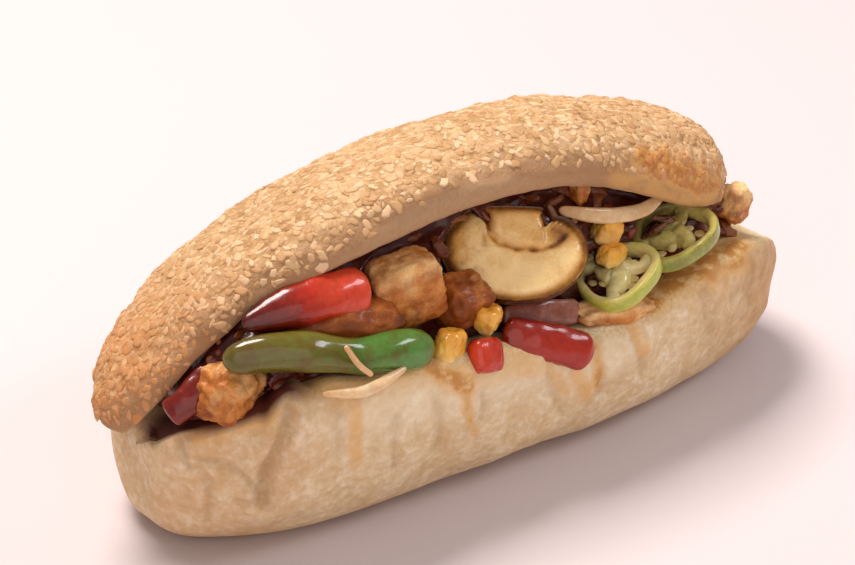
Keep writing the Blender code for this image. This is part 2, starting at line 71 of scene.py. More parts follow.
# Along the roll: how far the cut droops at the noses, how far its front edge stands above its hinge, how many
# degrees the top half is lifted, and how much of its full rise the top half has
DROOP_KNOTS = (
    (-0.098, -0.017), (-0.092, -0.01), (-0.086, -0.008), (-0.078, -0.0052), (-0.068, -0.0014),
    (0.07, 0.0), (0.085, -0.002), (0.094, -0.0065), (0.101, -0.013),
)
EDGE_KNOTS = (
    (-0.094, 0.002), (-0.089, 0.0085), (-0.083, 0.009), (-0.062, 0.0081), (-0.035, 0.0055),
    (-0.01, 0.0015),
    (0.01, -0.0028), (0.033, -0.005), (0.05, -0.0025), (0.066, 0.001), (0.101, -0.002),
)
LIFT_KNOTS = (
    (-0.098, 12.0), (-0.0945, 12.5), (-0.091, 14.5), (-0.087, 19.0), (-0.08, 24.0), (-0.06, 28.4),
    (-0.04, 31.0), (-0.01, 33.0), (0.016, 31.0), (0.034, 25.9), (0.06, 14.0), (0.087, 7.3),
)
RISE_KNOTS = (
    (-0.098, 0.7), (-0.091, 0.45), (-0.08, 0.4), (-0.065, 0.51), (-0.034, 0.92), (0.013, 1.06),
    (0.049, 1.13), (0.087, 0.85),
)

# Mesh steps: stations along the roll, then steps over the crust and across the cut face
ROLL_STATIONS = 310
CRUST_STEPS = 112
CUT_STEPS = 34


def follow(x, knots):
    """The value at x of a smooth curve through (position, value) knots, level beyond both ends."""
    if x <= knots[0][0]:
        return knots[0][1]
    if x >= knots[-1][0]:
        return knots[-1][1]
    index = max(i for i, knot in enumerate(knots[:-1]) if knot[0] <= x)
    before = knots[max(0, index - 1)]
    start, end = knots[index], knots[index + 1]
    after = knots[min(len(knots) - 1, index + 2)]
    span = end[0] - start[0]
    slope_in = span * (end[1] - before[1]) / (end[0] - before[0])
    slope_out = span * (after[1] - start[1]) / (after[0] - start[0])
    t = (x - start[0]) / span
    rise = t * t * (3.0 - 2.0 * t)
    bend_in = t * (1.0 - t) ** 2
    bend_out = t * t * (t - 1.0)
    return start[1] + (end[1] - start[1]) * rise + slope_in * bend_in + slope_out * bend_out


def along_roll(places, knots):
    """The same curve at a whole array of positions along the roll."""
    stops = np.linspace(-0.11, 0.11, 441)
    return np.interp(places, stops, [follow(stop, knots) for stop in stops])


def signed_power(value, exponent):
    """The value raised to a power, keeping its sign: below 1 it squares off a circle's cosine and sine."""
    return math.copysign(abs(value) ** exponent, value)


def rounded(share, bluntness):
    """1 at share 0, falling to 0 at -1 and 1: an ellipse for bluntness 2, squarer above it."""
    return max(0.0, 1.0 - abs(share) ** bluntness) ** (1.0 / bluntness)


def nose(share, bluntness):
    """The bluntness at one side of the roll, from its left and right noses' own."""
    return bluntness[0] if share < 0.0 else bluntness[1]


def lumps(point, size, seed=0.0):
    """A smooth uneven value between about -1 and 1, with lumps about size across."""
    return noise.noise(Vector(point) / size + Vector((seed, seed, seed)))


def grain(points, size, seed):
    """Smooth noise from -1 to 1 at each of an array of points. Size is its lumps', or one for each axis."""
    scaled = points / np.asarray(size) + 0.37 * seed
    cell = np.floor(scaled).astype(np.int64)
    part = scaled - cell
    soft = part * part * (3.0 - 2.0 * part)
    total = np.zeros(len(points))
    for corner in range(8):
        offset = np.array([corner & 1, corner >> 1 & 1, corner >> 2 & 1])
        spot = cell + offset
        mixed = spot[:, 0] * 73856093 ^ spot[:, 1] * 19349663 ^ spot[:, 2] * 83492791 ^ seed * 2654435
        mixed = (mixed ^ mixed >> 13) * 1274126177 & 0xFFFFFFFF
        value = ((mixed ^ mixed >> 15) & 0xFFFF) / 32767.5 - 1.0
        total += value * np.prod(np.where(offset, soft, 1.0 - soft), axis=1)
    return total


def ease(values, start, end):
    """0 up to start and 1 beyond end, smooth between them, for an array. Start may be the larger."""
    share = np.clip((values - start) / (end - start), 0.0, 1.0)
    return share * share * (3.0 - 2.0 * share)


def away_from(points, path):
    """How far each point of an array is from a path of points."""
    nearest = np.full(len(points), 1.0)
    for start, end in zip(path, path[1:]):
        start, end = np.array(start), np.array(end)
        leg = end - start
        share = np.clip((points - start) @ leg / (leg @ leg), 0.0, 1.0)
        nearest = np.minimum(nearest, np.linalg.norm(points - start - share[:, None] * leg, axis=1))
    return nearest


def bell(values, centre, width):
    """1 where a value of an array is at the centre, falling off smoothly over about this width."""
    return np.exp(-(((values - centre) / width) ** 2))


def hinge_height(x):
    """The height of the cut at the hinge."""
    return CUT_HEIGHT + follow(x, DROOP_KNOTS)


def bottom_point(x, y, h):
    """Where a point of the bottom half lies, h below its cut: the base is squashed flat on its support."""
    reach = max(0.0, HINGE_Y - y) / (HINGE_Y + HALF_WIDTH)
    tall = hinge_height(x) + follow(x, EDGE_KNOTS) * reach + BASE_SQUASH
    return Vector((x, y, max(0.0, tall * (1.0 - h / (CUT_HEIGHT + BASE_SQUASH)) - BASE_SQUASH)))


def top_point(x, y, h):
    """Where a point of the top half lies, h above its cut, once the half has turned about the hinge."""
    lift = math.radians(follow(x, LIFT_KNOTS))
    reach = HINGE_Y - y
    across = HINGE_Y - reach * math.cos(lift) + h * math.sin(lift)
    return Vector((x, across, hinge_height(x) + reach * math.sin(lift) + h * math.cos(lift)))


def width_at(x, ends, bluntness):
    """Half the width of one half of the roll at x."""
    share = (2 * x - ends[0] - ends[1]) / (ends[1] - ends[0])
    return HALF_WIDTH * rounded(share, nose(share, bluntness))


def trough(across):
    """How far a cut face is hollowed at a place across it: 0 is its middle, -1 and 1 its edges."""
    return TROUGH_DEPTH * (1.0 - across**2)


def show(name, points, faces):
    """A smooth-shaded object in the scene, made of these points and faces and facing outwards."""
    mesh = bpy.data.meshes.new(name)
    mesh.from_pydata([tuple(point) for point in points], [], faces)
    shape = bmesh.new()
    shape.from_mesh(mesh)
    bmesh.ops.recalc_face_normals(shape, faces=shape.faces)
    shape.to_mesh(mesh)
    shape.free()
    mesh.shade_smooth()
    made = bpy.data.objects.new(name, mesh)
    bpy.context.scene.collection.objects.link(made)
    return made


def loft(points, faces, sections, closed=False):
    """Adds a solid through equal rings of points, capped at both ends, or joined end to end if closed."""
    first, count = len(points), len(sections[0])
    for ring in sections:
        points += ring
    for ring in range(len(sections) - (0 if closed else 1)):
        low = first + ring * count
        high = first + (ring + 1) % len(sections) * count
        faces += [(low + s, low + (s + 1) % count, high + (s + 1) % count, high + s) for s in range(count)]
    if not closed:
        for low, ring in ((first, sections[0]), (len(points) - count, sections[-1])):
            faces += [(low + s, low + (s + 1) % count, len(points)) for s in range(count)]
            points.append(sum(ring, Vector()) / count)


def half_section(rise, squareness):
    """The (y, h) outline of one half: crust from front lip to back, then the hollowed cut face."""
    outline = []
    for step in range(CRUST_STEPS + 1):
        turn = math.pi * step / CRUST_STEPS
        across = -signed_power(math.cos(turn), squareness)
        up = math.sin(turn) ** squareness
        outline.append((HALF_WIDTH * across, LIP_RADIUS + (rise - LIP_RADIUS) * up))
    for step in range(CUT_STEPS + 1):
        across = 1.0 - 2.0 * step / CUT_STEPS
        lip = RIM if abs(across) == 1.0 else 0.0
        outline.append(((HALF_WIDTH - RIM) * across, abs(lip - trough(across))))
    return outline


def build_half(name, place, ends, rise, squareness, bluntness, rise_knots):
    """The bottom or the top half of the roll, each nose closing on the middle of its height."""
    tip = NOSE_TIP * rise
    outline = half_section(rise, squareness)
    sections = []
    for station in range(ROLL_STATIONS + 1):
        share = 0.9995 * math.sin(math.pi * (station / ROLL_STATIONS - 0.5))
        x = (ends[0] + ends[1]) / 2 + share * (ends[1] - ends[0]) / 2
        blunt = nose(share, bluntness)
        crust_closing = rounded(share, NOSE_DROP * blunt) * follow(x, rise_knots)
        lip_closing = rounded(share, LIP_DROP)
        narrowing = rounded(share, blunt)
        ring = []
        for y, h in outline:
            depth = tip + (h - tip) * (crust_closing if h > tip else lip_closing)
            swell = BUMP_DEPTH * lumps((x, y, h), BUMP_SIZE, rise) * min(1.0, h / tip)
            narrow_y = y * narrowing * (1.0 + swell / HALF_WIDTH)
            ring.append(place(x, narrow_y, depth + swell * (h / rise)))
        sections.append(ring)
    points, faces = [], []
    loft(points, faces, sections)
    return show(name, points, faces)


def gather(items, name, width=3):
    """One value or vector of each of a mesh's items, a row each."""
    flat = np.empty(width * len(items), np.float32)
    items.foreach_get(name, flat)
    return flat.reshape(-1, width).astype(float)


def move_points(mesh, places):
    """Puts the mesh's points at the rows of an array."""
    mesh.vertices.foreach_set("co", places.astype(np.float32).ravel())
    mesh.update()


roll = build_half("soft_roll", bottom_point, BOTTOM_ENDS, CUT_HEIGHT + BASE_SQUASH, BASE_SQUARENESS,
                  BOTTOM_BLUNTNESS, ((0, 1),))
roll_top = build_half("top", top_point, TOP_ENDS, TOP_RISE, TOP_SQUARENESS, TOP_BLUNTNESS, RISE_KNOTS)
boolean = roll.modifiers.new("join", "BOOLEAN")
boolean.operation = "UNION"
boolean.solver = "MANIFOLD"
boolean.object = roll_top
fused = bpy.data.meshes.new_from_object(roll.evaluated_get(bpy.context.evaluated_depsgraph_get()))
roll.modifiers.clear()
roll.data = fused
bpy.data.objects.remove(roll_top, do_unlink=True)


def roll_layout(places):
    """For points on the roll: which are on its top half, how deep each is in its half and how far across."""
    x, y, z = places.T
    hinge = CUT_HEIGHT + along_roll(x, DROOP_KNOTS)
    lift = np.radians(along_roll(x, LIFT_KNOTS))
    back, above = y - HINGE_Y, z - hinge
    depth_top = back * np.sin(lift) + above * np.cos(lift)
    across_top = HINGE_Y + back * np.cos(lift) - above * np.sin(lift)
    reach = np.clip(-back, 0.0, None) / (HINGE_Y + HALF_WIDTH)
    tall = hinge + along_roll(x, EDGE_KNOTS) * reach + BASE_SQUASH
    depth_low = (CUT_HEIGHT + BASE_SQUASH) * (1.0 - (z + BASE_SQUASH) / tall)
    is_top = depth_top > depth_low
    widths = []
    for ends, bluntness in ((TOP_ENDS, TOP_BLUNTNESS), (BOTTOM_ENDS, BOTTOM_BLUNTNESS)):
        share = np.clip((x - sum(ends) / 2) / ((ends[1] - ends[0]) / 2), -1.0, 1.0)
        blunt = np.where(share < 0.0, *bluntness)
        widths.append(HALF_WIDTH * np.clip(1.0 - np.abs(share) ** blunt, 1e-4, 1.0) ** (1.0 / blunt))
    depth = np.where(is_top, depth_top, depth_low)
    across = np.where(is_top, across_top / widths[0], y / widths[1])
    return is_top, depth, across


# The uncut strip along the back is one skin, so the sharp
# valley that two crusts would leave there is eased out
HINGE_BAND = 0.006
SEAM_PASSES = 40
shape = bmesh.new()
shape.from_mesh(roll.data)
bmesh.ops.remove_doubles(shape, verts=shape.verts, dist=0.00001)
shape.to_mesh(roll.data)
places = gather(roll.data.vertices, "co")
is_top, depth, across = roll_layout(places)
seam = (across > 0.55) & (depth < HINGE_BAND) & (places[:, 1] > 0.018)
chosen = [vertex for vertex, held in zip(shape.verts, seam) if held]
for turn in range(SEAM_PASSES):
    bmesh.ops.smooth_vert(shape, verts=chosen, factor=0.5, use_axis_x=True, use_axis_y=True, use_axis_z=True)
shape.to_mesh(roll.data)
shape.free()

# The sandwich is looked at from its front left, 30 degrees up, and marks on its front are placed as they look
# from there: in millimetres right and up of the roll's middle
TARGET = Vector((0.0, 0.0, 0.038))
TURN, RAISE, AWAY = math.radians(-35.0), math.radians(30.0), 0.75
BACK = Vector((math.sin(TURN) * math.cos(RAISE), -math.cos(TURN) * math.cos(RAISE), math.sin(RAISE)))
RIGHT = Vector((math.cos(TURN), math.sin(TURN), 0.0))
UP = BACK.cross(RIGHT)
MM = 0.001


def as_seen(points):
    """How far right and up of the roll's middle each point of an array looks, in metres, and a zero."""
    offset = points - np.array(TARGET + BACK * AWAY)
    near = AWAY / -(offset @ np.array(BACK))
    return np.column_stack([offset @ np.array(RIGHT) * near, offset @ np.array(UP) * near, 0.0 * near])


def marked(path):
    """A path of marks, from millimetres to the metres of as_seen."""
    return [(right * MM, up * MM, 0.0) for right, up in path]


# Creases from handling and cutting, each with its depth and width in millimetres
CREASES = (
    (((-40.2, -27.1), (-41.5, -33.5), (-43.6, -39.9), (-46.1, -45.1), (-46.6, -52.1)), 2.2, 1.7),
    (((-68.3, -37.6), (-66.8, -39.9), (-65.2, -42.8)), 0.9, 1.0),
    (((-62.6, -41.2), (-56.2, -43.0), (-51.0, -46.1), (-48.2, -49.7)), 0.8, 1.1),
    (((-63.1, -43.3), (-60.8, -47.7), (-60.1, -52.8), (-60.8, -57.2)), 0.6, 1.2),
    (((-52.8, -52.6), (-49.2, -52.1), (-46.1, -53.6)), 0.6, 1.0),
    (((-27.1, -26.5), (-28.4, -33.5), (-27.1, -40.5)), 0.5, 1.3),
    (((-12.4, -30.9), (-13.1, -37.4), (-12.1, -44.6)), 0.5, 1.3),
    (((-2.8, -26.5), (-0.8, -32.2), (-1.8, -39.4)), 0.5, 1.3),
    (((9.0, -24.0), (10.6, -28.4), (9.5, -32.2)), 0.6, 1.1),
    (((26.3, -19.8), (28.1, -25.0), (30.2, -30.2)), 0.5, 1.3),
    (((37.9, -12.9), (39.7, -19.3), (40.5, -25.0)), 0.6, 1.2),
    (((47.7, -7.0), (49.2, -12.9), (50.8, -19.8)), 0.6, 1.2),
    (((67.3, 6.4), (66.8, -1.3), (68.3, -9.0)), 0.6, 1.4),
    (((78.6, 14.2), (79.6, 6.4), (79.1, -1.3)), 0.5, 1.4),
)
places = gather(roll.data.vertices, "co")
facing = gather(roll.data.vertex_normals, "vector")
is_top, depth, across = roll_layout(places)
x, y, z = places.T
seen = as_seen(places)
shown = ease(facing @ np.array(BACK), 0.0, 0.3)
cut_face = (np.abs(across) < 0.93) & (depth < 0.005) | ~is_top & (facing[:, 2] > 0.8) & (z > 0.025)
front = ease(across, -0.2, -0.75)
top_lip = 0.0005 + 0.005 * ease(x, -0.052, -0.03) * ease(x, 0.028, -0.01)
# On the lower lip the crumb band is wider around 18 mm right of the middle, a painted highlight on its shoulder
lip_width = np.where(is_top, top_lip, 0.0014 + 0.0016 * bell(seen[:, 0], 0.018, 0.01))
crumb = np.where(cut_face, 1.0, front * ease(depth, lip_width + 0.0009, lip_width - 0.0003))
wall = (1.0 - crumb) * ease(z, 0.0005, 0.004)
top_wall, low_wall = wall * is_top, wall * ~is_top
crust_share = (depth + 0.0012 * grain(places, 0.006, 3)) / (TOP_RISE * along_roll(x, RISE_KNOTS))
oats = top_wall * ease(crust_share, 0.1 + 0.12 * ease(x, -0.052, -0.02) * ease(x, 0.03, 0.0), 0.34)
relief = oats * (0.0004 * grain(places, 0.0036, 1) + 0.00034 * grain(places, 0.0021, 2))
relief += top_wall * (0.0009 * grain(places, (0.014, 0.01, 0.01), 4) + 0.00022 * grain(places, 0.003, 12))
wrinkled = low_wall * (0.35 + 0.65 * front) * ease(z, 0.0, 0.012)
relief += wrinkled * (0.0008 * grain(places, 0.012, 7) + 0.00042 * grain(places, (0.0055, 0.0055, 0.0085), 5))
relief += wrinkled * ease(x, -0.086, -0.066) * 0.00026 * grain(places, (0.0026, 0.0026, 0.004), 6)
relief += crumb * 0.00018 * grain(places, 0.003, 8)
# Painted shade in the creases: each crease darkens the wall's colour along its valley, besides its dent
creased = np.zeros(len(places))
for path, deep, wide in CREASES:
    far = away_from(seen, marked(path))
    near = shown * bell(far, 0.0, wide * MM)
    relief -= low_wall * deep * MM * near
    relief += low_wall * shown * 0.5 * deep * MM * bell(far, 2.3 * wide * MM, 1.3 * wide * MM)
    creased = np.maximum(creased, near * min(1.0, deep))

# Just under its lip the soft wall swells out in lobes, and the
# lip itself is torn up where the knife stopped and started again
lobes = 0.5 + 0.5 * grain(places, (0.017, 0.05, 0.05), 13)
relief += low_wall * front * (0.0004 + 0.0014 * lobes) * bell(depth, 0.008, 0.006)
lip = ~is_top * front * ease(depth, 0.01, 0.001)
ripple = 0.0008 * grain(places, (0.0065, 0.03, 0.03), 9) + 0.0004 * grain(places, (0.0028, 0.03, 0.03), 10)
peak = sum(high * bell(seen[:, 0], right, wide) for high, right, wide in (
    (0.0026, -0.0405, 0.0032), (0.001, -0.03, 0.004), (0.0018, -0.07, 0.009),
))
slot = 0.0014 * bell(seen[:, 0], -0.0462, 0.0014)
ragged = ease(x, -0.086, -0.078) * ease(x, 0.088, 0.076)
places = places + facing * relief[:, None]
places[:, 2] += lip * (ripple * ragged + peak - slot)
places[:, 1] -= lip * 0.5 * peak
places[:, 2] = np.maximum(places[:, 2], 0.0)
move_points(roll.data, places)

# Where the sauce has run down or soaked in, each path with its radius in millimetres and its strength
STAINS = (
    (((-37.0, -25.0), (-20.0, -22.5), (-4.0, -19.5), (10.0, -20.5), (24.0, -17.0)), 1.7, 0.6),
    (((-24.0, -24.0), (-23.5, -29.6), (-23.2, -36.3), (-22.4, -43.0)), 1.4, 0.62),
    (((-32.2, -22.4), (-28.6, -25.0), (-25.0, -27.1)), 2.0, 0.6),
    (((-63.7, -36.3), (-59.5, -35.3), (-55.9, -34.3)), 1.8, 0.5),
    (((-51.5, -33.5), (-48.2, -31.7), (-45.1, -29.6)), 1.8, 0.5),
    (((-3.4, -18.3), (1.3, -20.4), (4.9, -23.5)), 2.6, 0.9),
    (((3.9, -21.9), (5.2, -25.8), (5.9, -30.2), (7.5, -34.8)), 1.0, 0.7),
    (((14.7, -16.2), (19.8, -15.7), (26.3, -17.3)), 2.0, 0.5),
    (((28.1, -19.8), (30.2, -23.5)), 1.8, 0.5),
    (((33.2, -19.8), (36.3, -23.5)), 2.0, 0.6),
    (((37.9, -12.9), (38.7, -17.3), (39.4, -22.9)), 1.3, 0.8),
    (((47.7, -1.3), (50.8, -1.8), (54.6, -1.3)), 2.4, 1.0),
    (((47.7, -5.9), (49.2, -10.6), (50.8, -14.7)), 1.2, 0.6),
    (((58.0, 3.4), (63.7, 5.9), (70.1, 8.5), (75.3, 11.1)), 3.8, 0.9),
    (((58.0, 1.3), (55.9, -1.3)), 2.4, 0.6),
    (((52.0, 35.0), (57.0, 33.5), (62.0, 30.5), (68.0, 28.5)), 3.0, 1.0),
    (((46.0, 29.0), (54.0, 27.0), (64.0, 24.5), (72.0, 24.5)), 2.4, 0.5),
)
soaked = np.zeros(len(places))
for path, radius, strength in STAINS:
    far = away_from(seen, marked(path)) * (1.0 + 0.35 * grain(places, 0.004, 11))
    soaked = np.maximum(soaked, shown * strength * ease(far, 1.9 * radius * MM, 0.5 * radius * MM))
top_browned = ease(x, -0.066, -0.09) + 0.2 * ease(x, 0.045, 0.075)
browned = np.where(is_top, top_browned, 0.4 * ease(x, 0.065, 0.09) + 0.4 * ease(x, -0.055, -0.075))
# Painted shade on the top half's front band and its crumb, under the overhang of its crust
skirt = is_top * front * ease(depth, 0.013, 0.005)
# Painted near-black on the lower cut face at the left nose: dark sauce and painted shade inside the mouth
drowned = ~is_top * ease(depth, 0.007, 0.005) * ease(facing[:, 2], 0.3, 0.6)
drowned = drowned * ease(x, -0.058, -0.068) * ease(y, 0.006, -0.008)
floured = low_wall * (0.4 + 0.6 * ease(x, 0.085, 0.05))
# Painted highlight: the lower wall is lightened in a band just under its cut, where its shoulder catches the
# light
shoulder = low_wall * front * bell(depth, 0.009, 0.008) * ease(x, -0.072, -0.045) * ease(x, 0.05, 0.015)


def srgb(code):
    """A linear colour from an sRGB hex code."""
    channels = [int(code[place:place + 2], 16) / 255 for place in (1, 3, 5)]
    return (*[c / 12.92 if c <= 0.04045 else ((c + 0.055) / 1.055) ** 2.4 for c in channels], 1.0)


def plug(finish, sockets, sources):
    """Gives a node's sockets their values, or links other nodes' outputs to them."""
    for name, source in sources.items():
        if isinstance(source, bpy.types.NodeSocket):
            finish.node_tree.links.new(source, sockets[name])
        else:
            sockets[name].default_value = source


def add_node(finish, kind, sources, stops=(), output=0, **settings):
    """Adds a node with its settings and sockets, its stops if it is a ramp, and gives one of its outputs."""
    made = finish.node_tree.nodes.new("ShaderNode" + kind)
    for name, value in settings.items():
        setattr(made, name, value)
    for index, (position, code) in enumerate(stops):
        points = made.color_ramp.elements
        stop = points[index] if index < 2 else points.new(position)
        stop.position = position
        stop.color = srgb(code)
    plug(finish, made.inputs, sources)
    return made.outputs[output]


def feed(finish, **sources):
    """Gives the shader's own sockets their constants and links."""
    shader = finish.node_tree.nodes["Principled BSDF"]
    plug(finish, shader.inputs, {name.replace("_", " "): source for name, source in sources.items()})


def start_finish(name, layers, patterns, uneven=0.6, **constants):
    """A material with its shader's constants. Also gives by name the values painted on its pieces' points,
    and noise patterns, each from (the size of its cells in mm, detail)."""
    finish = bpy.data.materials.new(name)
    finish.use_nodes = True
    feed(finish, **constants)
    where = add_node(finish, "TexCoord", {}, output="Object")
    part = {layer: add_node(finish, "Attribute", {}, output="Fac", attribute_name=layer) for layer in layers}
    for pattern, (size, detail) in patterns.items():
        sources = {"Vector": where, "Scale": 1.0 / (size * MM), "Detail": detail, "Roughness": uneven}
        part[pattern] = add_node(finish, "TexNoise", sources)
    return finish, part


# Wheat bread baked soft: the crust is matt, peach to golden and mottled by its oats and bran. Its lower wall
# is paler and floury, its cut face smooth crumb. Light goes a few millimetres in, so shadows on it stay warm.
bread, part = start_finish(
    "baked_oat_bread",
    ("crumb", "soaked", "browned", "oats", "skirt", "creased", "floured", "drowned", "shoulder"),
    {"cloud": (14.0, 3.0), "fleck": (2.2, 2.0), "speck": (1.3, 2.0), "mottle": (4.0, 4.0),
     "patch": (8.0, 4.0), "pore": (0.9, 3.0)},
    Roughness=0.72, IOR=1.45, Subsurface_Weight=0.1, Subsurface_Scale=0.002,
    Subsurface_Radius=(1.0, 0.55, 0.3), Specular_IOR_Level=0.35,
)
blend = {"crust": 0.0, "wall": 0.0, "relief": part["pore"]}
for name, source, gain in (
    ("crust", "mottle", 0.6), ("crust", "cloud", 0.4), ("wall", "patch", 0.45), ("wall", "fleck", 0.55),
    ("relief", "fleck", 0.8), ("relief", "mottle", 1.4),
):
    sources = {0: part[source], 1: gain, 2: blend[name]}
    blend[name] = add_node(bread, "Math", sources, operation="MULTIPLY_ADD")
crust_stops = ((0.34, "#a0744c"), (0.7, "#dcb78e"), (0.44, "#b58c5e"), (0.54, "#c7a075"))
wall_stops = ((0.34, "#cfad80"), (0.66, "#ebd9bc"), (0.5, "#dbbf98"))
colour = add_node(bread, "ValToRGB", {"Fac": blend["crust"]}, stops=crust_stops)
wall_colour = add_node(bread, "ValToRGB", {"Fac": blend["wall"]}, stops=wall_stops)
crumb_colour = add_node(bread, "ValToRGB", {"Fac": part["pore"]}, stops=((0.3, "#cba978"), (0.62, "#e8d2aa")))
stain = add_node(bread, "MapRange", {"Value": part["mottle"], "From Min": 0.18, "From Max": 0.5})
stain = add_node(bread, "Math", {0: stain, 1: part["soaked"]}, operation="MULTIPLY", use_clamp=True)
deep_stain = add_node(bread, "MapRange", {"Value": stain, "From Min": 0.62, "From Max": 1.1})

# Each coat over the crust, the lowest first: where it lies, how much of it shows and its colour, and for
# three of them the pattern that breaks it up and the values between which it does
for share, amount, coat, *broken in (
    (part["floured"], 0.9, wall_colour),
    # painted highlight on the lower wall's shoulder
    (part["shoulder"], 0.45, srgb("#f0e2c6")),
    (part["browned"], 0.75, srgb("#bd7a42"), "cloud", 0.3, 0.62),
    (part["oats"], 0.55, srgb("#e6bd8c"), "fleck", 0.54, 0.62),
    (part["oats"], 0.55, srgb("#8d5f3a"), "speck", 0.6, 0.68),
    # painted shade in the wall's creases
    (part["creased"], 0.5, srgb("#a07a4c")),
    (part["crumb"], 1.0, crumb_colour),
    # painted shade under the top half's lip
    (part["skirt"], 0.82, srgb("#a27855")),
    (stain, 1.0, srgb("#dba355")),
    (deep_stain, 1.0, srgb("#ad6828")),
    # dark sauce and painted shade on the cut face at the left nose
    (part["drowned"], 1.0, srgb("#4f1a0f")),
):
    if broken:
        source, low, high = broken
        spread = add_node(bread, "MapRange", {"Value": part[source], "From Min": low, "From Max": high})
        share = add_node(bread, "Math", {0: spread, 1: share}, operation="MULTIPLY", use_clamp=True)
    share = add_node(bread, "Math", {0: share, 1: amount}, operation="MULTIPLY")
    colour = add_node(bread, "Mix", {0: share, 6: colour, 7: coat}, output=2, data_type="RGBA")
smooth_crumb = add_node(bread, "MapRange", {"Value": part["crumb"], "To Min": 0.55, "To Max": 0.12})
rough = add_node(
    bread, "MapRange", {"Value": stain, "From Min": 0.2, "From Max": 1.0, "To Min": 0.74, "To Max": 0.38},
)
bumps = add_node(bread, "Bump", {"Strength": smooth_crumb, "Distance": 0.0006, "Height": blend["relief"]})
feed(bread, Base_Color=colour, Roughness=rough, Normal=bumps)


laid = []


def serve(piece, finish, slot, *nodes, **layers):
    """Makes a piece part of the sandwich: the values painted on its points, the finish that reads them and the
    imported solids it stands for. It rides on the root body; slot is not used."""
    for name, values in layers.items():
        layer = piece.data.attributes.new(name, "FLOAT", "POINT")
        layer.data.foreach_set("value", np.full(len(piece.data.vertices), values, np.float32))
    piece.data.transform(Matrix.Translation(ORIGIN_SHIFT))
    piece.data.materials.clear()
    piece.data.materials.append(finish)
    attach(piece, "root")
    if nodes:
        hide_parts(*nodes)
    laid.append(piece)


# Rolled oats: steamed and flattened groats, scattered on the wet dough and
# baked into the top crust. Each is a thin, ragged, broken flake 2 to 5 mm
# long, sunk in the crust with one edge lifted, so it shows as a low scale.
OAT_COUNT = 3000
OAT_SPACING = 0.0015
TOAST_KNOTS = ((-0.092, 1.0), (-0.062, 0.0), (0.045, 0.0), (0.078, 0.25))
SPOKES = 10
skin = roll.data.polygons
centres, facings = gather(skin, "center"), gather(skin, "normal")
corners = [face.vertices[0] for face in skin]
odds = (gather(skin, "area", 1)[:, 0] * oats[corners]).cumsum()
draw = random.Random(11)
taken, flakes = {}, []
nearby = (-1, 0, 1)
while len(flakes) < OAT_COUNT:
    index = int(np.searchsorted(odds, draw.random() * odds[-1]))
    centre = Vector(centres[index])
    cell = tuple(int(along // OAT_SPACING) for along in centre)
    around = [(cell[0] + i, cell[1] + j, cell[2] + k) for i in nearby for j in nearby for k in nearby]
    if any((centre - taken[spot]).length < OAT_SPACING for spot in around if spot in taken):
        if draw.random() < 0.97:
            continue
    taken[cell] = centre
    flakes.append((centre, Vector(facings[index]), soaked[corners[index]]))
points, faces, tints, toasts = [], [], [], []
for number, (centre, facing, wetness) in enumerate(flakes):
    turn = Matrix.Rotation(draw.uniform(0.0, math.tau), 3, facing)
    side = turn @ facing.orthogonal().normalized()
    other = facing.cross(side)
    long_half = draw.uniform(0.0006, 0.001) * draw.uniform(1.0, 2.0)
    wide_half = long_half * draw.uniform(0.42, 0.85)
    lean = draw.uniform(-0.14, 0.14)
    tints.append(draw.random())
    toasts.append(max(1.3 * wetness, follow(centre.x, TOAST_KNOTS)))
    points.append(centre + facing * 0.00012)
    base = len(points)
    for share, high in ((0.6, 0.00018), (1.0, 0.00002), (0.95, -0.0006)):
        for spoke in range(SPOKES):
            angle = math.tau * spoke / SPOKES
            edge = share * (1.0 + 0.6 * lumps((number, 1.4 * math.cos(angle), 1.4 * math.sin(angle)), 0.8))
            sideways = wide_half * edge * math.sin(angle)
            spot = centre + side * (long_half * edge * math.cos(angle)) + other * sideways
            points.append(spot + facing * (high + lean * sideways))
    for spoke in range(SPOKES):
        after = (spoke + 1) % SPOKES
        faces.append((base - 1, base + spoke, base + after))
        for low in (base, base + SPOKES):
            faces.append((low + spoke, low + SPOKES + spoke, low + SPOKES + after, low + after))
    faces.append(list(range(base + 2 * SPOKES, base + 3 * SPOKES)))
# Baked oat flake: matt and papery, from cream to toasted peach, a few of them bran-brown
oat, part = start_finish(
    "baked_oat_flake", ("tint", "toasted"), {"cloud": (16.0, 2.0), "fibre": (0.8, 3.0)}, uneven=0.5,
    Roughness=0.68, IOR=1.45, Subsurface_Weight=0.1, Subsurface_Scale=0.001, Specular_IOR_Level=0.35,
)
shade = -0.35
for source, gain in (("cloud", 0.7), ("tint", 1.0), ("fibre", 0.25)):
    shade = add_node(oat, "Math", {0: part[source], 1: gain, 2: shade}, operation="MULTIPLY_ADD")
oat_stops = ((0.0, "#aa7b50"), (1.0, "#e0bb93"), (0.2, "#be9162"), (0.6, "#cba174"))
colour = add_node(oat, "ValToRGB", {"Fac": shade}, stops=oat_stops)
share = add_node(oat, "Math", {0: part["toasted"], 1: 0.7}, operation="MULTIPLY", use_clamp=True)
colour = add_node(oat, "Mix", {0: share, 6: colour, 7: srgb("#bd7a42")}, output=2, data_type="RGBA")
bumps = add_node(oat, "Bump", {"Strength": 0.4, "Distance": 0.0002, "Height": part["fibre"]})
feed(oat, Base_Color=colour, Normal=bumps)
flake_points = 1 + 3 * SPOKES
serve(show("rolled_oats", points, faces), oat, "bread_roll",
      tint=np.repeat(tints, flake_points), toasted=np.repeat(toasts, flake_points))
serve(roll, bread, "bread_roll", "bread_roll", crumb=crumb, soaked=soaked, browned=browned, oats=oats,
      skirt=skirt, creased=creased, floured=floured, drowned=drowned, shoulder=shoulder)


# The chicken: thigh and breast diced, fried until its faces brown and then
# turned in the sauce. Each piece keeps its cut, boxy form, with muscle
# fibres along it, and the one at the left end is a ragged, crumbly scrap.
SHOWN_SIDE = Vector((-0.5, -0.71, 0.5))
GAP = 0.0005
laid.clear()


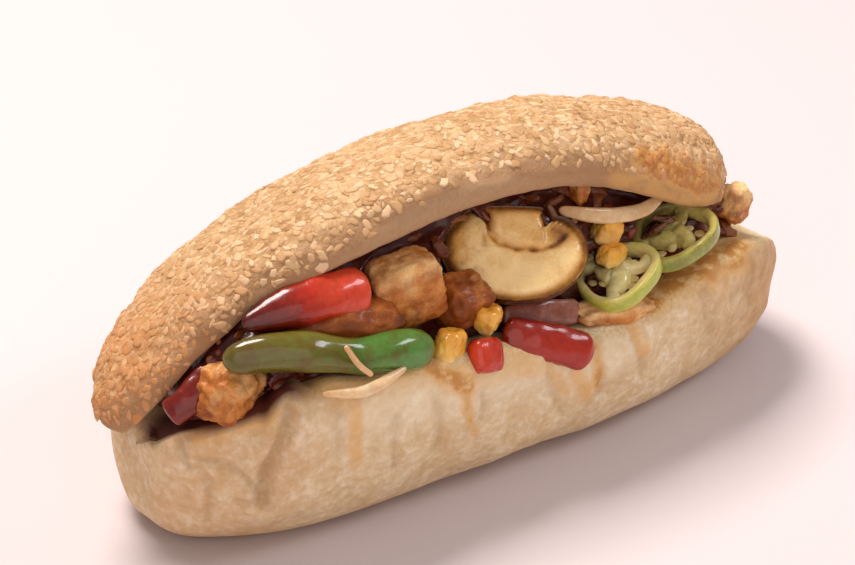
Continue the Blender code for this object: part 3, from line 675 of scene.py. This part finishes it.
def cooked(name, stops, mottle, fine, roughness, coat, scatter, bump, sauce="#7a3812", wet=(0.46, 0.66),
           detail=3.0):
    """A moist cooked surface: mottle and fine are pattern sizes in mm, and thin sauce lies in patches."""
    finish, part = start_finish(
        name, ("tone", "sauced"), {"mottle": (mottle, detail), "fine": (fine, 3.0), "patch": (5.0, 4.0)},
        Roughness=roughness, IOR=1.42, Coat_Weight=coat, Coat_Roughness=0.1, Subsurface_Weight=scatter,
        Subsurface_Scale=0.002, Subsurface_Radius=(1.0, 0.45, 0.25), Specular_IOR_Level=0.3,
    )
    shade = -0.45
    for source, gain in (("mottle", 0.6), ("fine", 0.3), ("tone", 1.0)):
        shade = add_node(finish, "Math", {0: part[source], 1: gain, 2: shade}, operation="MULTIPLY_ADD")
    colour = add_node(finish, "ValToRGB", {"Fac": shade}, stops=stops)
    patches = add_node(finish, "MapRange", {"Value": part["patch"], "From Min": wet[0], "From Max": wet[1]})
    share = add_node(finish, "Math", {0: patches, 1: part["sauced"]}, operation="MULTIPLY", use_clamp=True)
    colour = add_node(finish, "Mix", {0: share, 6: colour, 7: srgb(sauce)}, output=2, data_type="RGBA")
    height = add_node(finish, "Math", {0: part["mottle"], 1: 2.0, 2: part["fine"]}, operation="MULTIPLY_ADD")
    bumps = add_node(finish, "Bump", {"Strength": bump, "Distance": 0.0004, "Height": height})
    feed(finish, Base_Color=colour, Normal=bumps)
    return finish


def smooth_route(route, steps):
    """Evenly spread points on a smooth curve through the route's points."""
    distances = [0.0]
    for before, after in zip(route, route[1:]):
        distances.append(distances[-1] + (Vector(after) - Vector(before)).length)
    lines = [[(far, point[axis]) for far, point in zip(distances, route)] for axis in range(3)]
    stops = [distances[-1] * step / steps for step in range(steps + 1)]
    return [Vector([follow(stop, line) for line in lines]) for stop in stops]


EVEN = ((0, 0.8), (0.08, 1.0), (0.92, 1.0), (1, 0.8))


def add_strip(points, faces, route, half_width, half_depth, girth=EVEN, bow=0.0, facing=SHOWN_SIDE, steps=70,
              sides=28, corner=0.8, closing=0.07, uneven=0.05, seed=0.0):
    """Adds a cut strip with rounded ends along a route. Gives each point's place along it and facing side."""
    spots = smooth_route(route, steps)
    sections, along_it, outer = [], [], []
    for step, spot in enumerate(spots):
        share = step / steps
        along = (spots[min(step + 1, steps)] - spots[max(step - 1, 0)]).normalized()
        across = along.cross(facing).normalized()
        out = across.cross(along)
        end = min(1.0, (min(share, 1.0 - share) + 0.002) / closing)
        size = follow(share, girth) * rounded(1.0 - end, 2.4)
        ring = []
        for side in range(sides):
            turn = math.tau * side / sides
            wide = signed_power(math.cos(turn), corner)
            deep = signed_power(math.sin(turn), corner)
            rough = 1.0 + uneven * lumps((share * 5.0, wide, deep), 0.8, seed + 3.0)
            offset = half_depth * size * rough * deep - bow * size * wide * wide
            ring.append(spot + across * (half_width * size * rough * wide) + out * offset)
            along_it.append(share)
            outer.append(math.sin(turn))
        sections.append(ring)
    loft(points, faces, sections)
    return np.array(along_it + [0.0, 1.0]), np.array(outer + [0.0, 0.0])


ball = bmesh.new()
bmesh.ops.create_icosphere(ball, subdivisions=5, radius=1.0)
ball_directions = np.array([vertex.co.normalized() for vertex in ball.verts])
ball_faces = [tuple(vertex.index for vertex in face.verts) for face in ball.faces]
ball.free()


def lump_parts(centre, half_size, tilt, seed, squareness, roughness, relief):
    """The points of a rough boxy ball, once placed and before that. Relief gives them more height."""
    boxy = (np.abs(ball_directions) ** squareness).sum(axis=1) ** (-1.0 / squareness)
    uneven = np.array([lumps(spot, 0.7, seed) + 0.5 * lumps(spot, 0.3, seed) for spot in ball_directions])
    local = ball_directions * (boxy * (1.0 + roughness * uneven))[:, None] * np.array(half_size)
    local = local + ball_directions * relief(local)[:, None]
    turned = np.array(Euler([math.radians(angle) for angle in tilt]).to_matrix())
    return local @ turned.T + np.array(centre), local


CHICKEN = (
    ("chicken_chunk_1", (-0.077, -0.0215, 0.048), (0.0088, 0.0062, 0.007), (10, 12, 20), 3, 3.2, 1.0, 0.6),
    ("chicken_chunk_2", (-0.0285, -0.024, 0.0605), (0.009, 0.0064, 0.0088), (5, -12, -15), 4, 5.0, 0.15, 0.66),
    ("chicken_chunk_5", (0.029, -0.0335, 0.04), (0.0105, 0.0045, 0.0026), (0, 6, -8), 5, 3.2, 0.4, 0.84),
    ("chicken_chunk_6", (0.079, -0.0215, 0.05), (0.0038, 0.0036, 0.005), (0, 20, 30), 8, 3.2, 0.9, 0.82),
    ("chicken_chunk_4", (-0.0139, -0.027, 0.054), (0.0065, 0.006, 0.0065), (20, 0, 10), 9, 3.2, 0.5, 0.24),
    ("chicken_chunk_3", (-0.047, -0.0255, 0.057), (0.015, 0.006, 0.0065), (0, 5, -8), 10, 3.2, 0.4, 0.27),
    ("chicken_chunk_7", (0.028, -0.02, 0.0695), (0.0023, 0.0023, 0.0042), (0, 5, 0), 11, 3.2, 0.3, 0.7),
)
# Fried, sauced chicken: matt fibrous meat, pale gold to rust, with wet brown glaze lying in its hollows
fried_chicken = cooked(
    "fried_sauced_chicken", ((0.0, "#5a2810"), (1.0, "#ecc084"), (0.35, "#954c1a"), (0.62, "#c67c36")),
    3.2, 0.6, 0.46, 0.15, 0.15, 0.5, sauce="#8a4012",
)
for node, centre, half_size, tilt, seed, squareness, crumbly, lightness in CHICKEN:
    small = min(1.0, min(half_size) / 0.005)

    def crags(local):
        fibres = 0.00035 * grain(local, (0.006, 0.0013, 0.0013), seed)
        fibres += 0.0002 * grain(local, 0.0008, seed + 1)
        ragged_lumps = 0.0013 * crumbly * (0.5 - np.abs(grain(local, 0.0026, seed + 2)))
        return small * (fibres + ragged_lumps + 0.0005 * grain(local, 0.0045, seed + 3))

    roughness = 0.16 if squareness < 4 else 0.07
    points, local = lump_parts(centre, half_size, tilt, seed, squareness, roughness, crags)
    # Each piece's tone is raised on its upper side, a painted highlight from above
    tone = lightness + 0.2 * grain(local, 0.0035, seed + 4) + 0.18 * ball_directions[:, 2]
    serve(show(node + "_meat", points, ball_faces), fried_chicken, "chicken", node,
          tone=tone, sauced=0.55 + 0.4 * ease(ball_directions[:, 2], 0.3, -0.6))


# The red pepper: strips of sweet pepper, soft from frying. Their skin side is a smooth waxy film with sharp
# highlights, their cut sides are a little paler, and sauce and painted shade darken what lies deep in the roll.
def serve_strip(node, finish, slot, tones, sauced, *shape, **more):
    """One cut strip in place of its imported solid. Tones are (share along it, tone) knots."""
    points, faces = [], []
    along_it, outer = add_strip(points, faces, *shape, **more)
    tone = np.array([follow(share, tones) for share in along_it]) + 0.1 * outer
    serve(show(node + "_cut", points, faces), finish, slot, node, tone=tone, sauced=sauced)


pepper_skin = cooked(
    "fried_red_pepper_skin", ((0.0, "#3b0c08"), (1.0, "#e04c2c"), (0.35, "#7a180e"), (0.68, "#b52a15")),
    5.0, 1.5, 0.26, 0.6, 0.12, 0.3, sauce="#5a190b", detail=4.0,
)
# Strip 1's tones fall to black-red towards its left end and strip 2's stay low: sauce and painted shade
for number, tones, sauced, route, half_width, half_depth, more in (
    (1, ((0, 0.0), (0.3, 0.22), (0.58, 0.66), (1, 0.88)), 0.4,
     ((-0.074, -0.023, 0.0655), (-0.06, -0.0255, 0.0675), (-0.05, -0.0265, 0.0672), (-0.0405, -0.0265, 0.066)),
     0.006, 0.0026,
     {"girth": ((0, 0.3), (0.3, 0.8), (0.8, 1.0), (0.95, 0.97), (1, 0.8)), "bow": 0.0018, "uneven": 0.12}),
    (2, ((0, 0.25), (1, 0.15)), 0.6,
     ((-0.0915, -0.0165, 0.0435), (-0.087, -0.0185, 0.047), (-0.0795, -0.017, 0.052)), 0.0036, 0.0026, {}),
    (3, ((0, 0.75), (1, 0.62)), 0.3,
     ((-0.019, -0.0385, 0.045), (-0.0145, -0.0384, 0.044), (-0.01, -0.0375, 0.0425)), 0.0042, 0.003,
     {"closing": 0.26, "uneven": 0.08, "corner": 0.65}),
    (4, ((0, 0.35), (0.4, 0.5), (1, 0.52)), 0.4,
     ((-0.006, -0.034, 0.045), (0.005, -0.0385, 0.041), (0.016, -0.0425, 0.0358)), 0.0048, 0.0021,
     {"bow": 0.001, "closing": 0.14, "uneven": 0.1, "corner": 0.65}),
):
    serve_strip(f"red_pepper_strip_{number}", pepper_skin, "red_pepper", tones, sauced, route, half_width,
                half_depth, **more)


# The green chili: a small hot pepper laid in whole along the mouth, pinched in
# at its middle where it softened. Its skin is thin and waxy over wet flesh, so
# it mirrors the soft light, and its left half is browned by the pan.
chili_skin = cooked(
    "fried_green_chili_skin", ((0.0, "#5a451b"), (1.0, "#588c3e"), (0.35, "#66641f"), (0.62, "#4b6a22")),
    6.0, 1.5, 0.2, 0.6, 0.1, 0.1, sauce="#63430f", wet=(0.46, 0.64),
)
serve_strip(
    "green_chili", chili_skin, "green_chili",
    ((0, 0.05), (0.3, 0.2), (0.52, 0.35), (0.62, 0.62), (1, 0.8)), 0.55,
    ((-0.081, -0.025, 0.059), (-0.071, -0.0285, 0.0595), (-0.06, -0.0315, 0.0575),
     (-0.049, -0.0335, 0.0535), (-0.038, -0.0345, 0.0518), (-0.028, -0.0345, 0.049)),
    0.005, 0.0046, ((0, 0.55), (0.1, 0.85), (0.35, 1.0), (0.57, 0.86), (0.8, 1.03), (0.95, 0.9), (1, 0.6)),
    steps=120, sides=44, uneven=0.09, corner=0.92,
)


# The mushroom: one lengthwise slice of a closed-cup mushroom, laid cap down.
# Its cut face shows the thick pale cap round the stem, with the dark line of
# gills between them, and sauce has stained its edge and its left side, which
# is also darkened as painted shade.
def facing_frame(centre, normal, along=Vector((0.819, -0.574, 0.0))):
    """The matrix of a flat piece: local Z along its normal, local X as near as can be to the direction."""
    up = Vector(normal).normalized()
    side = (along - up * along.dot(up)).normalized()
    turned = Matrix((side, up.cross(side), up)).transposed()
    return Matrix.Translation(centre) @ turned.to_4x4()


def mushroom_outline():
    """The slice's outline seen flat, cap downwards and stem up, with a notch on each side of the stem."""
    half_width, half_height, centre_y = 0.0185, 0.0128, 0.0006
    outline = []
    for step in range(19):
        angle = math.radians(138 + 262 * step / 18)
        outline.append((half_width * math.cos(angle), centre_y + half_height * math.sin(angle)))
    lobe, notch, stem, stem_top = 0.0112, 0.0085, 0.0072, 0.0121
    outline += [(lobe, 0.0098), (notch, 0.0078), (stem, 0.0105), (stem - 0.001, stem_top)]
    outline += [(0.001 - stem, stem_top), (-stem, 0.0105), (-notch, 0.0082), (-lobe, 0.0112)]
    return outline


def smooth_loop(outline, steps):
    """Points on a smooth closed curve through an outline's points, steps of them between each two."""
    made = []
    for index in range(len(outline)):
        around = [outline[(index + move) % len(outline)] for move in (-1, 0, 1, 2)]
        before, start, end, after = np.array(around)
        for step in range(steps):
            t = step / steps
            bend = 2 * before - 5 * start + 4 * end - after
            twist = 3 * start - before - 3 * end + after
            made.append(0.5 * (2 * start + (end - before) * t + bend * t * t + twist * t ** 3))
    return np.array(made)


MUSHROOM_THICKNESS = 0.0055
GILL_LINE = ((-6.6, 9.8), (-6.5, 5.0), (-4.2, 2.4), (1.0, 1.0), (6.5, 0.9), (10.6, 2.4), (12.8, 4.8))
edge = smooth_loop(mushroom_outline(), 6)
rows = [(0.985 * (row / 30), 0.5) for row in range(1, 31)]
rim_turns = np.linspace(0.25, math.pi - 0.25, 9)
rows += [(0.985 + 0.015 * math.sin(turn), 0.5 * math.cos(turn)) for turn in rim_turns]
rows += [(0.985 * (row / 8), -0.5) for row in range(8, 0, -1)]
# Its faces join the rows as rings, and close the first row and the last on one point each
faces = []
loft([], faces, [[Vector()] * len(edge)] * len(rows))
shares, levels = np.append(np.repeat(rows, len(edge), axis=0), [[0, 0.5], [0, -0.5]], axis=0).T
flat = np.append(np.tile(edge, (len(rows), 1)), [[0, 0], [0, 0]], axis=0) * shares[:, None]
flat = np.column_stack([flat, levels * MUSHROOM_THICKNESS])
on_face = levels == 0.5
level = flat * np.array([1.0, 1.0, 0.0])
gill_far = away_from(level, marked(GILL_LINE))
gill = bell(gill_far, 0.0, 0.0008) * (0.75 + 0.4 * grain(level, 0.0022, 32))
rough_gill = bell(np.hypot(flat[:, 0] - 0.011, flat[:, 1] - 0.0062), 0.0, 0.0038)
stem = ease(gill_far, 0.0004, 0.002) * (flat[:, 1] > 0.001) * (np.abs(flat[:, 0]) < 0.0075)
ridges = np.sin(np.arctan2(flat[:, 1], flat[:, 0] - 0.004) * 60.0)
height = -0.0009 * gill - rough_gill * (0.0007 + 0.0003 * ridges) + 0.0008 * stem
height += 0.00022 * grain(level, 0.0028, 31) - 0.0016 * ease(shares, 0.72, 1.0) ** 2
flat[:, 2] += on_face * height
place = facing_frame((0.0038, -0.025, 0.06), (-0.35, -0.6, 0.72))
tone = 0.98 - 0.74 * gill - 0.62 * rough_gill - 0.6 * ease(shares, 0.78, 1.0)
# Its left side is darker from sauce and painted shade
tone -= 0.34 * ease(flat[:, 0], -0.008, -0.016) + 0.16 * stem + 0.4 * (1.0 - on_face)
sauced = 0.15 + 0.6 * (1.0 - on_face) + 0.9 * ease(flat[:, 0], -0.005, -0.014)
# Fried mushroom: moist cream flesh, tan where it soaked up sauce, almost black-brown in its gills
fried_mushroom = cooked(
    "fried_mushroom_flesh", ((0.0, "#3a1d0c"), (1.0, "#fbd798"), (0.3, "#935a24"), (0.62, "#dca454")),
    4.0, 0.7, 0.34, 0.45, 0.2, 0.25, sauce="#ab6d28", wet=(0.5, 0.7),
)
serve(show("mushroom_cut", [place @ Vector(spot) for spot in flat], faces), fried_mushroom, "mushroom",
      "mushroom_slice", tone=tone, sauced=sauced)


# The hot pepper rings: slices cut across a jalapeno. Each is an uneven ring
# of crisp flesh with dark green waxy skin outside, three ribs that meet in
# a pale core, and flat cream seeds held in the spaces between them.
light_flesh = cooked(
    "light_hot_pepper_flesh", ((0.0, "#a8ae3e"), (1.0, "#f4e6b0"), (0.35, "#d3c85e"), (0.7, "#e6d68a")),
    4.0, 1.0, 0.22, 0.6, 0.25, 0.15, sauce="#ab8238", wet=(0.55, 0.75),
)
dark_flesh = cooked(
    "dark_hot_pepper_flesh", ((0.0, "#7c8a32"), (1.0, "#e4d192"), (0.4, "#b4ac4e"), (0.75, "#cdbc6a")),
    4.0, 1.0, 0.22, 0.6, 0.25, 0.15, sauce="#80602a", wet=(0.48, 0.68),
)
seed_skin = cooked(
    "pepper_seed_skin", ((0.0, "#a98a4a"), (1.0, "#f1e3ae"), (0.5, "#dcc684")),
    2.0, 0.5, 0.35, 0.3, 0.2, 0.2, sauce="#8c5c22",
)
RINGS = (
    (1, "light_ring", light_flesh, (0.0335, -0.0295, 0.0465), (-0.32, -0.02, 0.95), 0.0112, 0.4, 0.25),
    (2, "dark_ring", dark_flesh, (0.0545, -0.026, 0.05), (-0.3, -0.05, 0.95), 0.0115, 1.3, 0.6),
)
WALL, RING_HEIGHT = 0.0026, 0.0045
TURNS, SIDES = 120, 22
RIB_GIRTH = ((0, 2.4), (0.3, 2.3), (0.7, 1.3), (1, 1.8))
# Each seed of a space between two ribs: how far round from the rib before it, and its share of the radius out
SEED_SPOTS = ((0.35, 0.36), (0.75, 0.58), (1.2, 0.4))
draw = random.Random(9)
for number, slot, finish, centre, normal, radius, seed, sauced in RINGS:
    node = f"jalapeno_ring_{number}"
    place = facing_frame(centre, normal)
    points, faces, sections, tones = [], [], [], []
    for step in range(TURNS):
        turn = math.tau * step / TURNS
        outer = radius * (1.0 + 0.06 * math.sin(3 * turn + seed) + 0.03 * math.sin(2 * turn))
        thick = WALL * (1.0 + 0.22 * lumps((turn, seed, 0.0), 1.1))
        ring = []
        for side in range(SIDES):
            angle = math.tau * side / SIDES
            across = outer - thick / 2 + thick / 2 * signed_power(math.cos(angle), 0.6)
            swell = 1.0 + 0.1 * lumps((turn, angle, seed), 0.9)
            up = RING_HEIGHT / 2 * signed_power(math.sin(angle), 0.6) * swell
            ring.append(place @ Vector((across * math.cos(turn), across * math.sin(turn), up)))
            tones.append(0.62 - 0.55 * max(0.0, math.cos(angle)) ** 1.5 + 0.1 * max(0.0, -math.cos(angle)))
        sections.append(ring)
    loft(points, faces, sections, closed=True)
    upward = place.col[2].xyz
    for arm in range(3):
        turn = math.tau * arm / 3 + seed
        tip = Vector((math.cos(turn), math.sin(turn), 0.0)) * (radius - 0.5 * WALL)
        side = Vector((-math.sin(turn), math.cos(turn), 0.0)) * 0.0007
        route = [place @ spot for spot in (tip * -0.15, tip * 0.3 + side, tip * 0.65 - side, tip)]
        add_strip(points, faces, route, 0.0013, 0.24 * RING_HEIGHT, RIB_GIRTH, facing=upward, steps=24,
                  sides=14, uneven=0.25, seed=arm)
    tones += [0.8] * (len(points) - len(tones))
    serve(show(node + "_cut", points, faces), finish, slot, node, tone=tones, sauced=sauced)
    points, faces = [], []
    for arm in range(3):
        for index, (ahead, share) in enumerate(SEED_SPOTS):
            turn = math.tau * arm / 3 + seed + ahead
            out = radius * share
            spot = place @ Vector((out * math.cos(turn), out * math.sin(turn), draw.uniform(-0.0006, 0.001)))
            east, north = turn + draw.uniform(-0.8, 0.8), turn + draw.uniform(-0.8, 0.8)
            heading = place.to_3x3() @ Vector((math.cos(east), math.sin(north), draw.uniform(-0.3, 0.3)))
            route = [spot + heading * far for far in (-0.0013, 0.0001, 0.0014)]
            add_strip(points, faces, route, 0.0012, 0.00045, ((0, 0.7), (0.6, 1.0), (1, 0.8)),
                      facing=upward + heading * 0.2, steps=10, sides=12, closing=0.4, uneven=0.12, seed=index)
    serve(show(node + "_seeds", points, faces), seed_skin, slot, tone=0.6, sauced=sauced)


# The onion: half-moon slices of white and red onion, fried limp. They are thin, wet and half clear, so their
# edges glow, and the sauce has turned them tan.
limp_onion = cooked(
    "fried_onion_flesh", ((0.0, "#a8713c"), (1.0, "#f2d9b0"), (0.5, "#d6ab78")),
    3.0, 0.8, 0.22, 0.5, 0.35, 0.12, sauce="#b87a40", wet=(0.5, 0.75),
)
limp_red_onion = cooked(
    "fried_red_onion_flesh", ((0.0, "#4b1c17"), (1.0, "#c08a78"), (0.5, "#8a4a3c")),
    3.0, 0.8, 0.24, 0.5, 0.3, 0.12,
)
serve_strip(
    "onion_strip_1", limp_onion, "onion", ((0, 0.35), (0.5, 0.6), (1, 0.5)), 0.5,
    ((0.02, -0.022, 0.0665), (0.0309, -0.025, 0.0628), (0.0431, -0.026, 0.0608), (0.0515, -0.0255, 0.0628)),
    0.002, 0.0009, ((0, 0.6), (0.3, 1.0), (0.8, 0.9), (1, 0.4)),
)
serve_strip(
    "onion_strip_2", limp_onion, "onion", ((0, 0.4), (0.5, 0.75), (1, 0.45)), 0.4,
    ((-0.0625, -0.0392, 0.0506), (-0.051, -0.0404, 0.048), (-0.0385, -0.0392, 0.0495)), 0.0013, 0.0009,
    ((0, 0.5), (0.3, 1.0), (0.7, 1.1), (1, 0.5)),
)
serve_strip(
    "onion_strand", limp_onion, "onion", ((0, 0.3), (1, 0.5)), 0.3,
    ((-0.0545, -0.037, 0.06), (-0.0525, -0.0396, 0.0555), (-0.049, -0.0402, 0.0515)), 0.0007, 0.0006,
)
serve_strip(
    "red_onion_strip", limp_red_onion, "red_onion", ((0, 0.4), (1, 0.6)), 0.6,
    ((-0.003, -0.03, 0.0465), (0.008, -0.0315, 0.045), (0.0195, -0.032, 0.042)), 0.0032, 0.0011,
)


# The sweetcorn: single kernels cut from the cob. Each has a broad, taut crown with a shallow dent, sides
# flattened by its neighbours, and a narrow pale tip, and its thin skin shines.
KERNELS = (
    ("corn_kernel_1", (-0.0225, -0.0345, 0.0475), (0.004, 0.0032, 0.0046), (0, 20, 10), 1),
    ("corn_kernel_2", (-0.0092, -0.032, 0.0498), (0.0038, 0.003, 0.0036), (10, 0, 30), 2),
    ("corn_kernel_3", (0.0345, -0.0235, 0.0567), (0.0038, 0.0032, 0.0042), (0, 30, 0), 6),
    ("corn_kernel_4", (0.033, -0.0275, 0.052), (0.0046, 0.003, 0.0028), (0, 10, 20), 7),
)
kernel_skin = cooked(
    "sweetcorn_skin", ((0.0, "#e8cf8e"), (1.0, "#eda63a"), (0.5, "#ecb84e")),
    3.0, 0.8, 0.22, 0.6, 0.25, 0.12, sauce="#b86a22", wet=(0.5, 0.72),
)
for node, centre, half_size, tilt, seed in KERNELS:

    def crown_dent(local):
        top = np.clip(local[:, 2] / half_size[2], 0.0, 1.0)
        middle = np.exp(-((local[:, 0] / half_size[0]) ** 2 + (local[:, 1] / half_size[1]) ** 2) / 0.18)
        return -0.0006 * top * middle + 0.00012 * grain(local, 0.0016, seed)

    points, local = lump_parts(centre, half_size, tilt, seed, 3.2, 0.12, crown_dent)
    serve(show(node + "_whole", points, ball_faces), kernel_skin, "corn", node,
          tone=0.55 + 0.45 * local[:, 2] / half_size[2], sauced=0.6)


# The filling's bed: scraps of chicken and onion bound in a thick dark sauce,
# spooned in as one heap that fills the wedge between the two cut faces. It
# is fitted round the backs of the pieces that lie on it, as soft filling is.
BED_ENDS = (-0.086, 0.079)
BED_SETBACK = 0.01
SETBACK_KNOTS = ((-0.07, 0.45), (-0.03, 1.0), (0.079, 1.0))
CROWN_REACH = 0.93
BED_BACK_Y = 0.02
BED_BULGE = 0.0035
BED_LUMP = 0.0022
BED_STATIONS, FLOOR_STEPS, FACE_STEPS = 230, 10, 56
bed_rings, on_front = [], []
for station in range(BED_STATIONS + 1):
    share = station / BED_STATIONS * 2.0 - 1.0
    x = BED_ENDS[0] + (BED_ENDS[1] - BED_ENDS[0]) * station / BED_STATIONS
    top_width = width_at(x, TOP_ENDS, TOP_BLUNTNESS)
    low_width = width_at(x, BOTTOM_ENDS, BOTTOM_BLUNTNESS)
    foot_y = BED_SETBACK * follow(x, SETBACK_KNOTS) - low_width
    crown_y = max(HINGE_Y - CROWN_REACH * (HINGE_Y - foot_y), -CROWN_REACH * top_width)
    closing = max(0.25, rounded(share, 6.0))
    ring, roof = [], []
    for step in range(FLOOR_STEPS + 1):
        y = BED_BACK_Y + (foot_y - BED_BACK_Y) * step / FLOOR_STEPS
        cut_height = bottom_point(x, y, 0.0).z - trough(min(1.0, abs(y) / low_width))
        ring.append(Vector((x, y, cut_height + GAP)))
        y = crown_y + (BED_BACK_Y - crown_y) * step / FLOOR_STEPS
        roof.append(top_point(x, y, trough(min(1.0, abs(y) / top_width)) - GAP))
    foot = ring[-1]
    for step in range(1, FACE_STEPS):
        level = step / FACE_STEPS
        bulge = BED_BULGE * math.sin(math.pi * level) + BED_LUMP * lumps((x, 0.0, level * 0.03), 0.008)
        ring.append(foot.lerp(roof[0], level) + SHOWN_SIDE * bulge * closing)
    bed_rings.append(ring + roof)
    on_front += [step > FLOOR_STEPS and step < FLOOR_STEPS + FACE_STEPS for step in range(len(ring + roof))]
points, faces = [], []
loft(points, faces, bed_rings)
bed = show("filling_heap", points, faces)
places = gather(bed.data.vertices, "co")
facing = gather(bed.data.vertex_normals, "vector")
movable = np.array(on_front + [False, False])
relief = 0.0008 * grain(places, 0.006, 21) + 0.0003 * grain(places, 0.0021, 22)
relief += 0.0008 * np.abs(grain(places, (0.008, 0.0025, 0.0025), 23)) - 0.0006
seen_side = ease(facing @ np.array(SHOWN_SIDE), 0.1, 0.5)
places = places + facing * (relief * seen_side * movable)[:, None]

# Each point of the front that would lie in or before a piece is set back behind that piece's near face
REACH, CLEAR = 0.05, 0.0018
piece_points, piece_faces = [], []
for piece in laid:
    first = len(piece_points)
    piece_points += [vertex.co - ORIGIN_SHIFT for vertex in piece.data.vertices]
    piece_faces += [[first + index for index in face.vertices] for face in piece.data.polygons]
pieces_tree = BVHTree.FromPolygons(piece_points, piece_faces)
covered = np.zeros(len(places), bool)
for index in np.nonzero(movable)[0]:
    spot = Vector(places[index])
    hit = pieces_tree.ray_cast(spot + SHOWN_SIDE * REACH, -SHOWN_SIDE, 2 * REACH)[0]
    if hit is not None:
        covered[index] = True
        ahead = (hit - spot).dot(SHOWN_SIDE)
        if ahead < CLEAR:
            places[index] = spot - SHOWN_SIDE * (CLEAR - ahead)
move_points(bed.data, places)
# Thick reduced sauce: near-black red-brown in the depth, glossy, with rusty scraps just under it
thick_sauce = cooked(
    "reduced_sauce", ((0.0, "#2d0b06"), (1.0, "#8a4420"), (0.4, "#4f160c"), (0.75, "#692817")),
    5.0, 1.4, 0.32, 0.4, 0.05, 0.25, sauce="#45120a", detail=4.0,
)
serve(bed, thick_sauce, "filling_bed", "filling_bed", tone=0.32 + 0.35 * grain(places, 0.007, 24), sauced=0.8)

# Scraps half sunk in the sauce where no larger piece covers it: torn chicken, limp onion and ends of pepper
chicken_shreds = cooked(
    "sauced_chicken_shreds", ((0.0, "#3d150a"), (1.0, "#a06430"), (0.4, "#632c13"), (0.7, "#80441c")),
    2.5, 0.7, 0.4, 0.35, 0.12, 0.4,
)
onion_slivers = cooked(
    "sauced_onion_slivers", ((0.0, "#5f2c16"), (1.0, "#b98450"), (0.5, "#8a5630")),
    3.0, 0.8, 0.28, 0.4, 0.25, 0.2,
)
pepper_scraps = cooked(
    "sauced_pepper_scraps", ((0.0, "#3d0d08"), (1.0, "#a5301a"), (0.5, "#6a170e")),
    3.0, 0.8, 0.25, 0.5, 0.1, 0.2,
)
draw = random.Random(5)
bare = np.nonzero(movable & ~covered)[0]
for name, finish, slot, count, lengths, girths, flatness in (
    ("chicken_shreds", chicken_shreds, "filling_bed", 30, (0.0028, 0.0056), (0.0006, 0.0015), 0.55),
    ("onion_slivers", onion_slivers, "onion", 8, (0.0028, 0.005), (0.0006, 0.001), 0.45),
    ("pepper_scraps", pepper_scraps, "red_pepper", 10, (0.0014, 0.0028), (0.0008, 0.0014), 0.6),
):
    points, faces, tones = [], [], []
    for number in range(count):
        spot = Vector(places[bare[int(draw.random() * len(bare))]])
        spot += SHOWN_SIDE * draw.uniform(-0.001, 0.0001)
        heading = Vector((draw.uniform(-1, 1), draw.uniform(-0.4, 0.4), draw.uniform(-0.6, 0.6))).normalized()
        half = draw.uniform(*lengths)
        sag = Vector((draw.uniform(-1, 1), draw.uniform(-1, 1), draw.uniform(-1, 1))) * 0.3 * half
        thick = draw.uniform(*girths)
        route = [spot - heading * half, spot + sag, spot + heading * half]
        add_strip(points, faces, route, thick, thick * flatness, steps=16, sides=14, closing=0.4, uneven=0.65,
                  seed=number)
        tones += [draw.uniform(0.2, 0.8)] * (len(points) - len(tones))
    serve(show(name, points, faces), finish, slot, tone=tones, sauced=0.7)


# The set: a plain pale table top and soft studio light, most of it from behind and above, as in the
# photograph, with a weaker fill from the front so that the bread's wall stays bright.
floor = show("floor", [(-3, -3, 0), (3, -3, 0), (3, 3, 0), (-3, 3, 0)], [(0, 1, 2, 3)])
# White laminate: a plain matt table top that takes soft shadows
table_top = start_finish(
    "white_laminate", (), {}, Roughness=0.6, Specular_IOR_Level=0.2, Base_Color=srgb("#d8cccd"),
)[0]
floor.data.materials.append(table_top)

# Soft boxes: each one's place, aim and size in metres, its power in watts and its colour
for name, place, aim, size, power, code in (
    ("key_above", (-0.12, 0.42, 1.1), (0.0, 0.0, 0.04), (0.55, 0.45), 16.8, "#fff8f2"),
    ("fill_front", (-0.62, -1.12, 0.52), (0.0, 0.0, 0.04), (1.8, 1.3), 7.0, "#fff6f0"),
    ("window_right", (0.75, -0.52, 0.8), (0.0, 0.0, 0.05), (0.4, 0.26), 3.4, "#f2f6ff"),
):
    lamp = bpy.data.lights.new(name, "AREA")
    lamp.shape = "RECTANGLE"
    lamp.size, lamp.size_y = size
    lamp.energy = power
    lamp.color = srgb(code)[:3]
    holder = bpy.data.objects.new(name, lamp)
    bpy.context.scene.collection.objects.link(holder)
    holder.location = place
    holder.rotation_euler = (Vector(aim) - Vector(place)).to_track_quat("-Z", "Y").to_euler()

world = bpy.data.worlds.new("studio")
world.use_nodes = True
world.node_tree.nodes["Background"].inputs["Color"].default_value = srgb("#fff7f3")
world.node_tree.nodes["Background"].inputs["Strength"].default_value = 0.35
bpy.context.scene.world = world
bpy.context.scene.view_settings.view_transform = "Standard"

# The camera is aimed a little left of the roll's middle and above it
AIM = TARGET + ORIGIN_SHIFT - RIGHT * 0.004 + UP * 0.0032
LENS = 122.5
eye = bpy.data.cameras.new("camera")
eye.lens = LENS
eye.sensor_width = 36.0
camera = bpy.data.objects.new("camera", eye)
bpy.context.scene.collection.objects.link(camera)
camera.location = AIM + BACK * AWAY
camera.rotation_euler = (-BACK).to_track_quat("-Z", "Y").to_euler()
bpy.context.scene.camera = camera
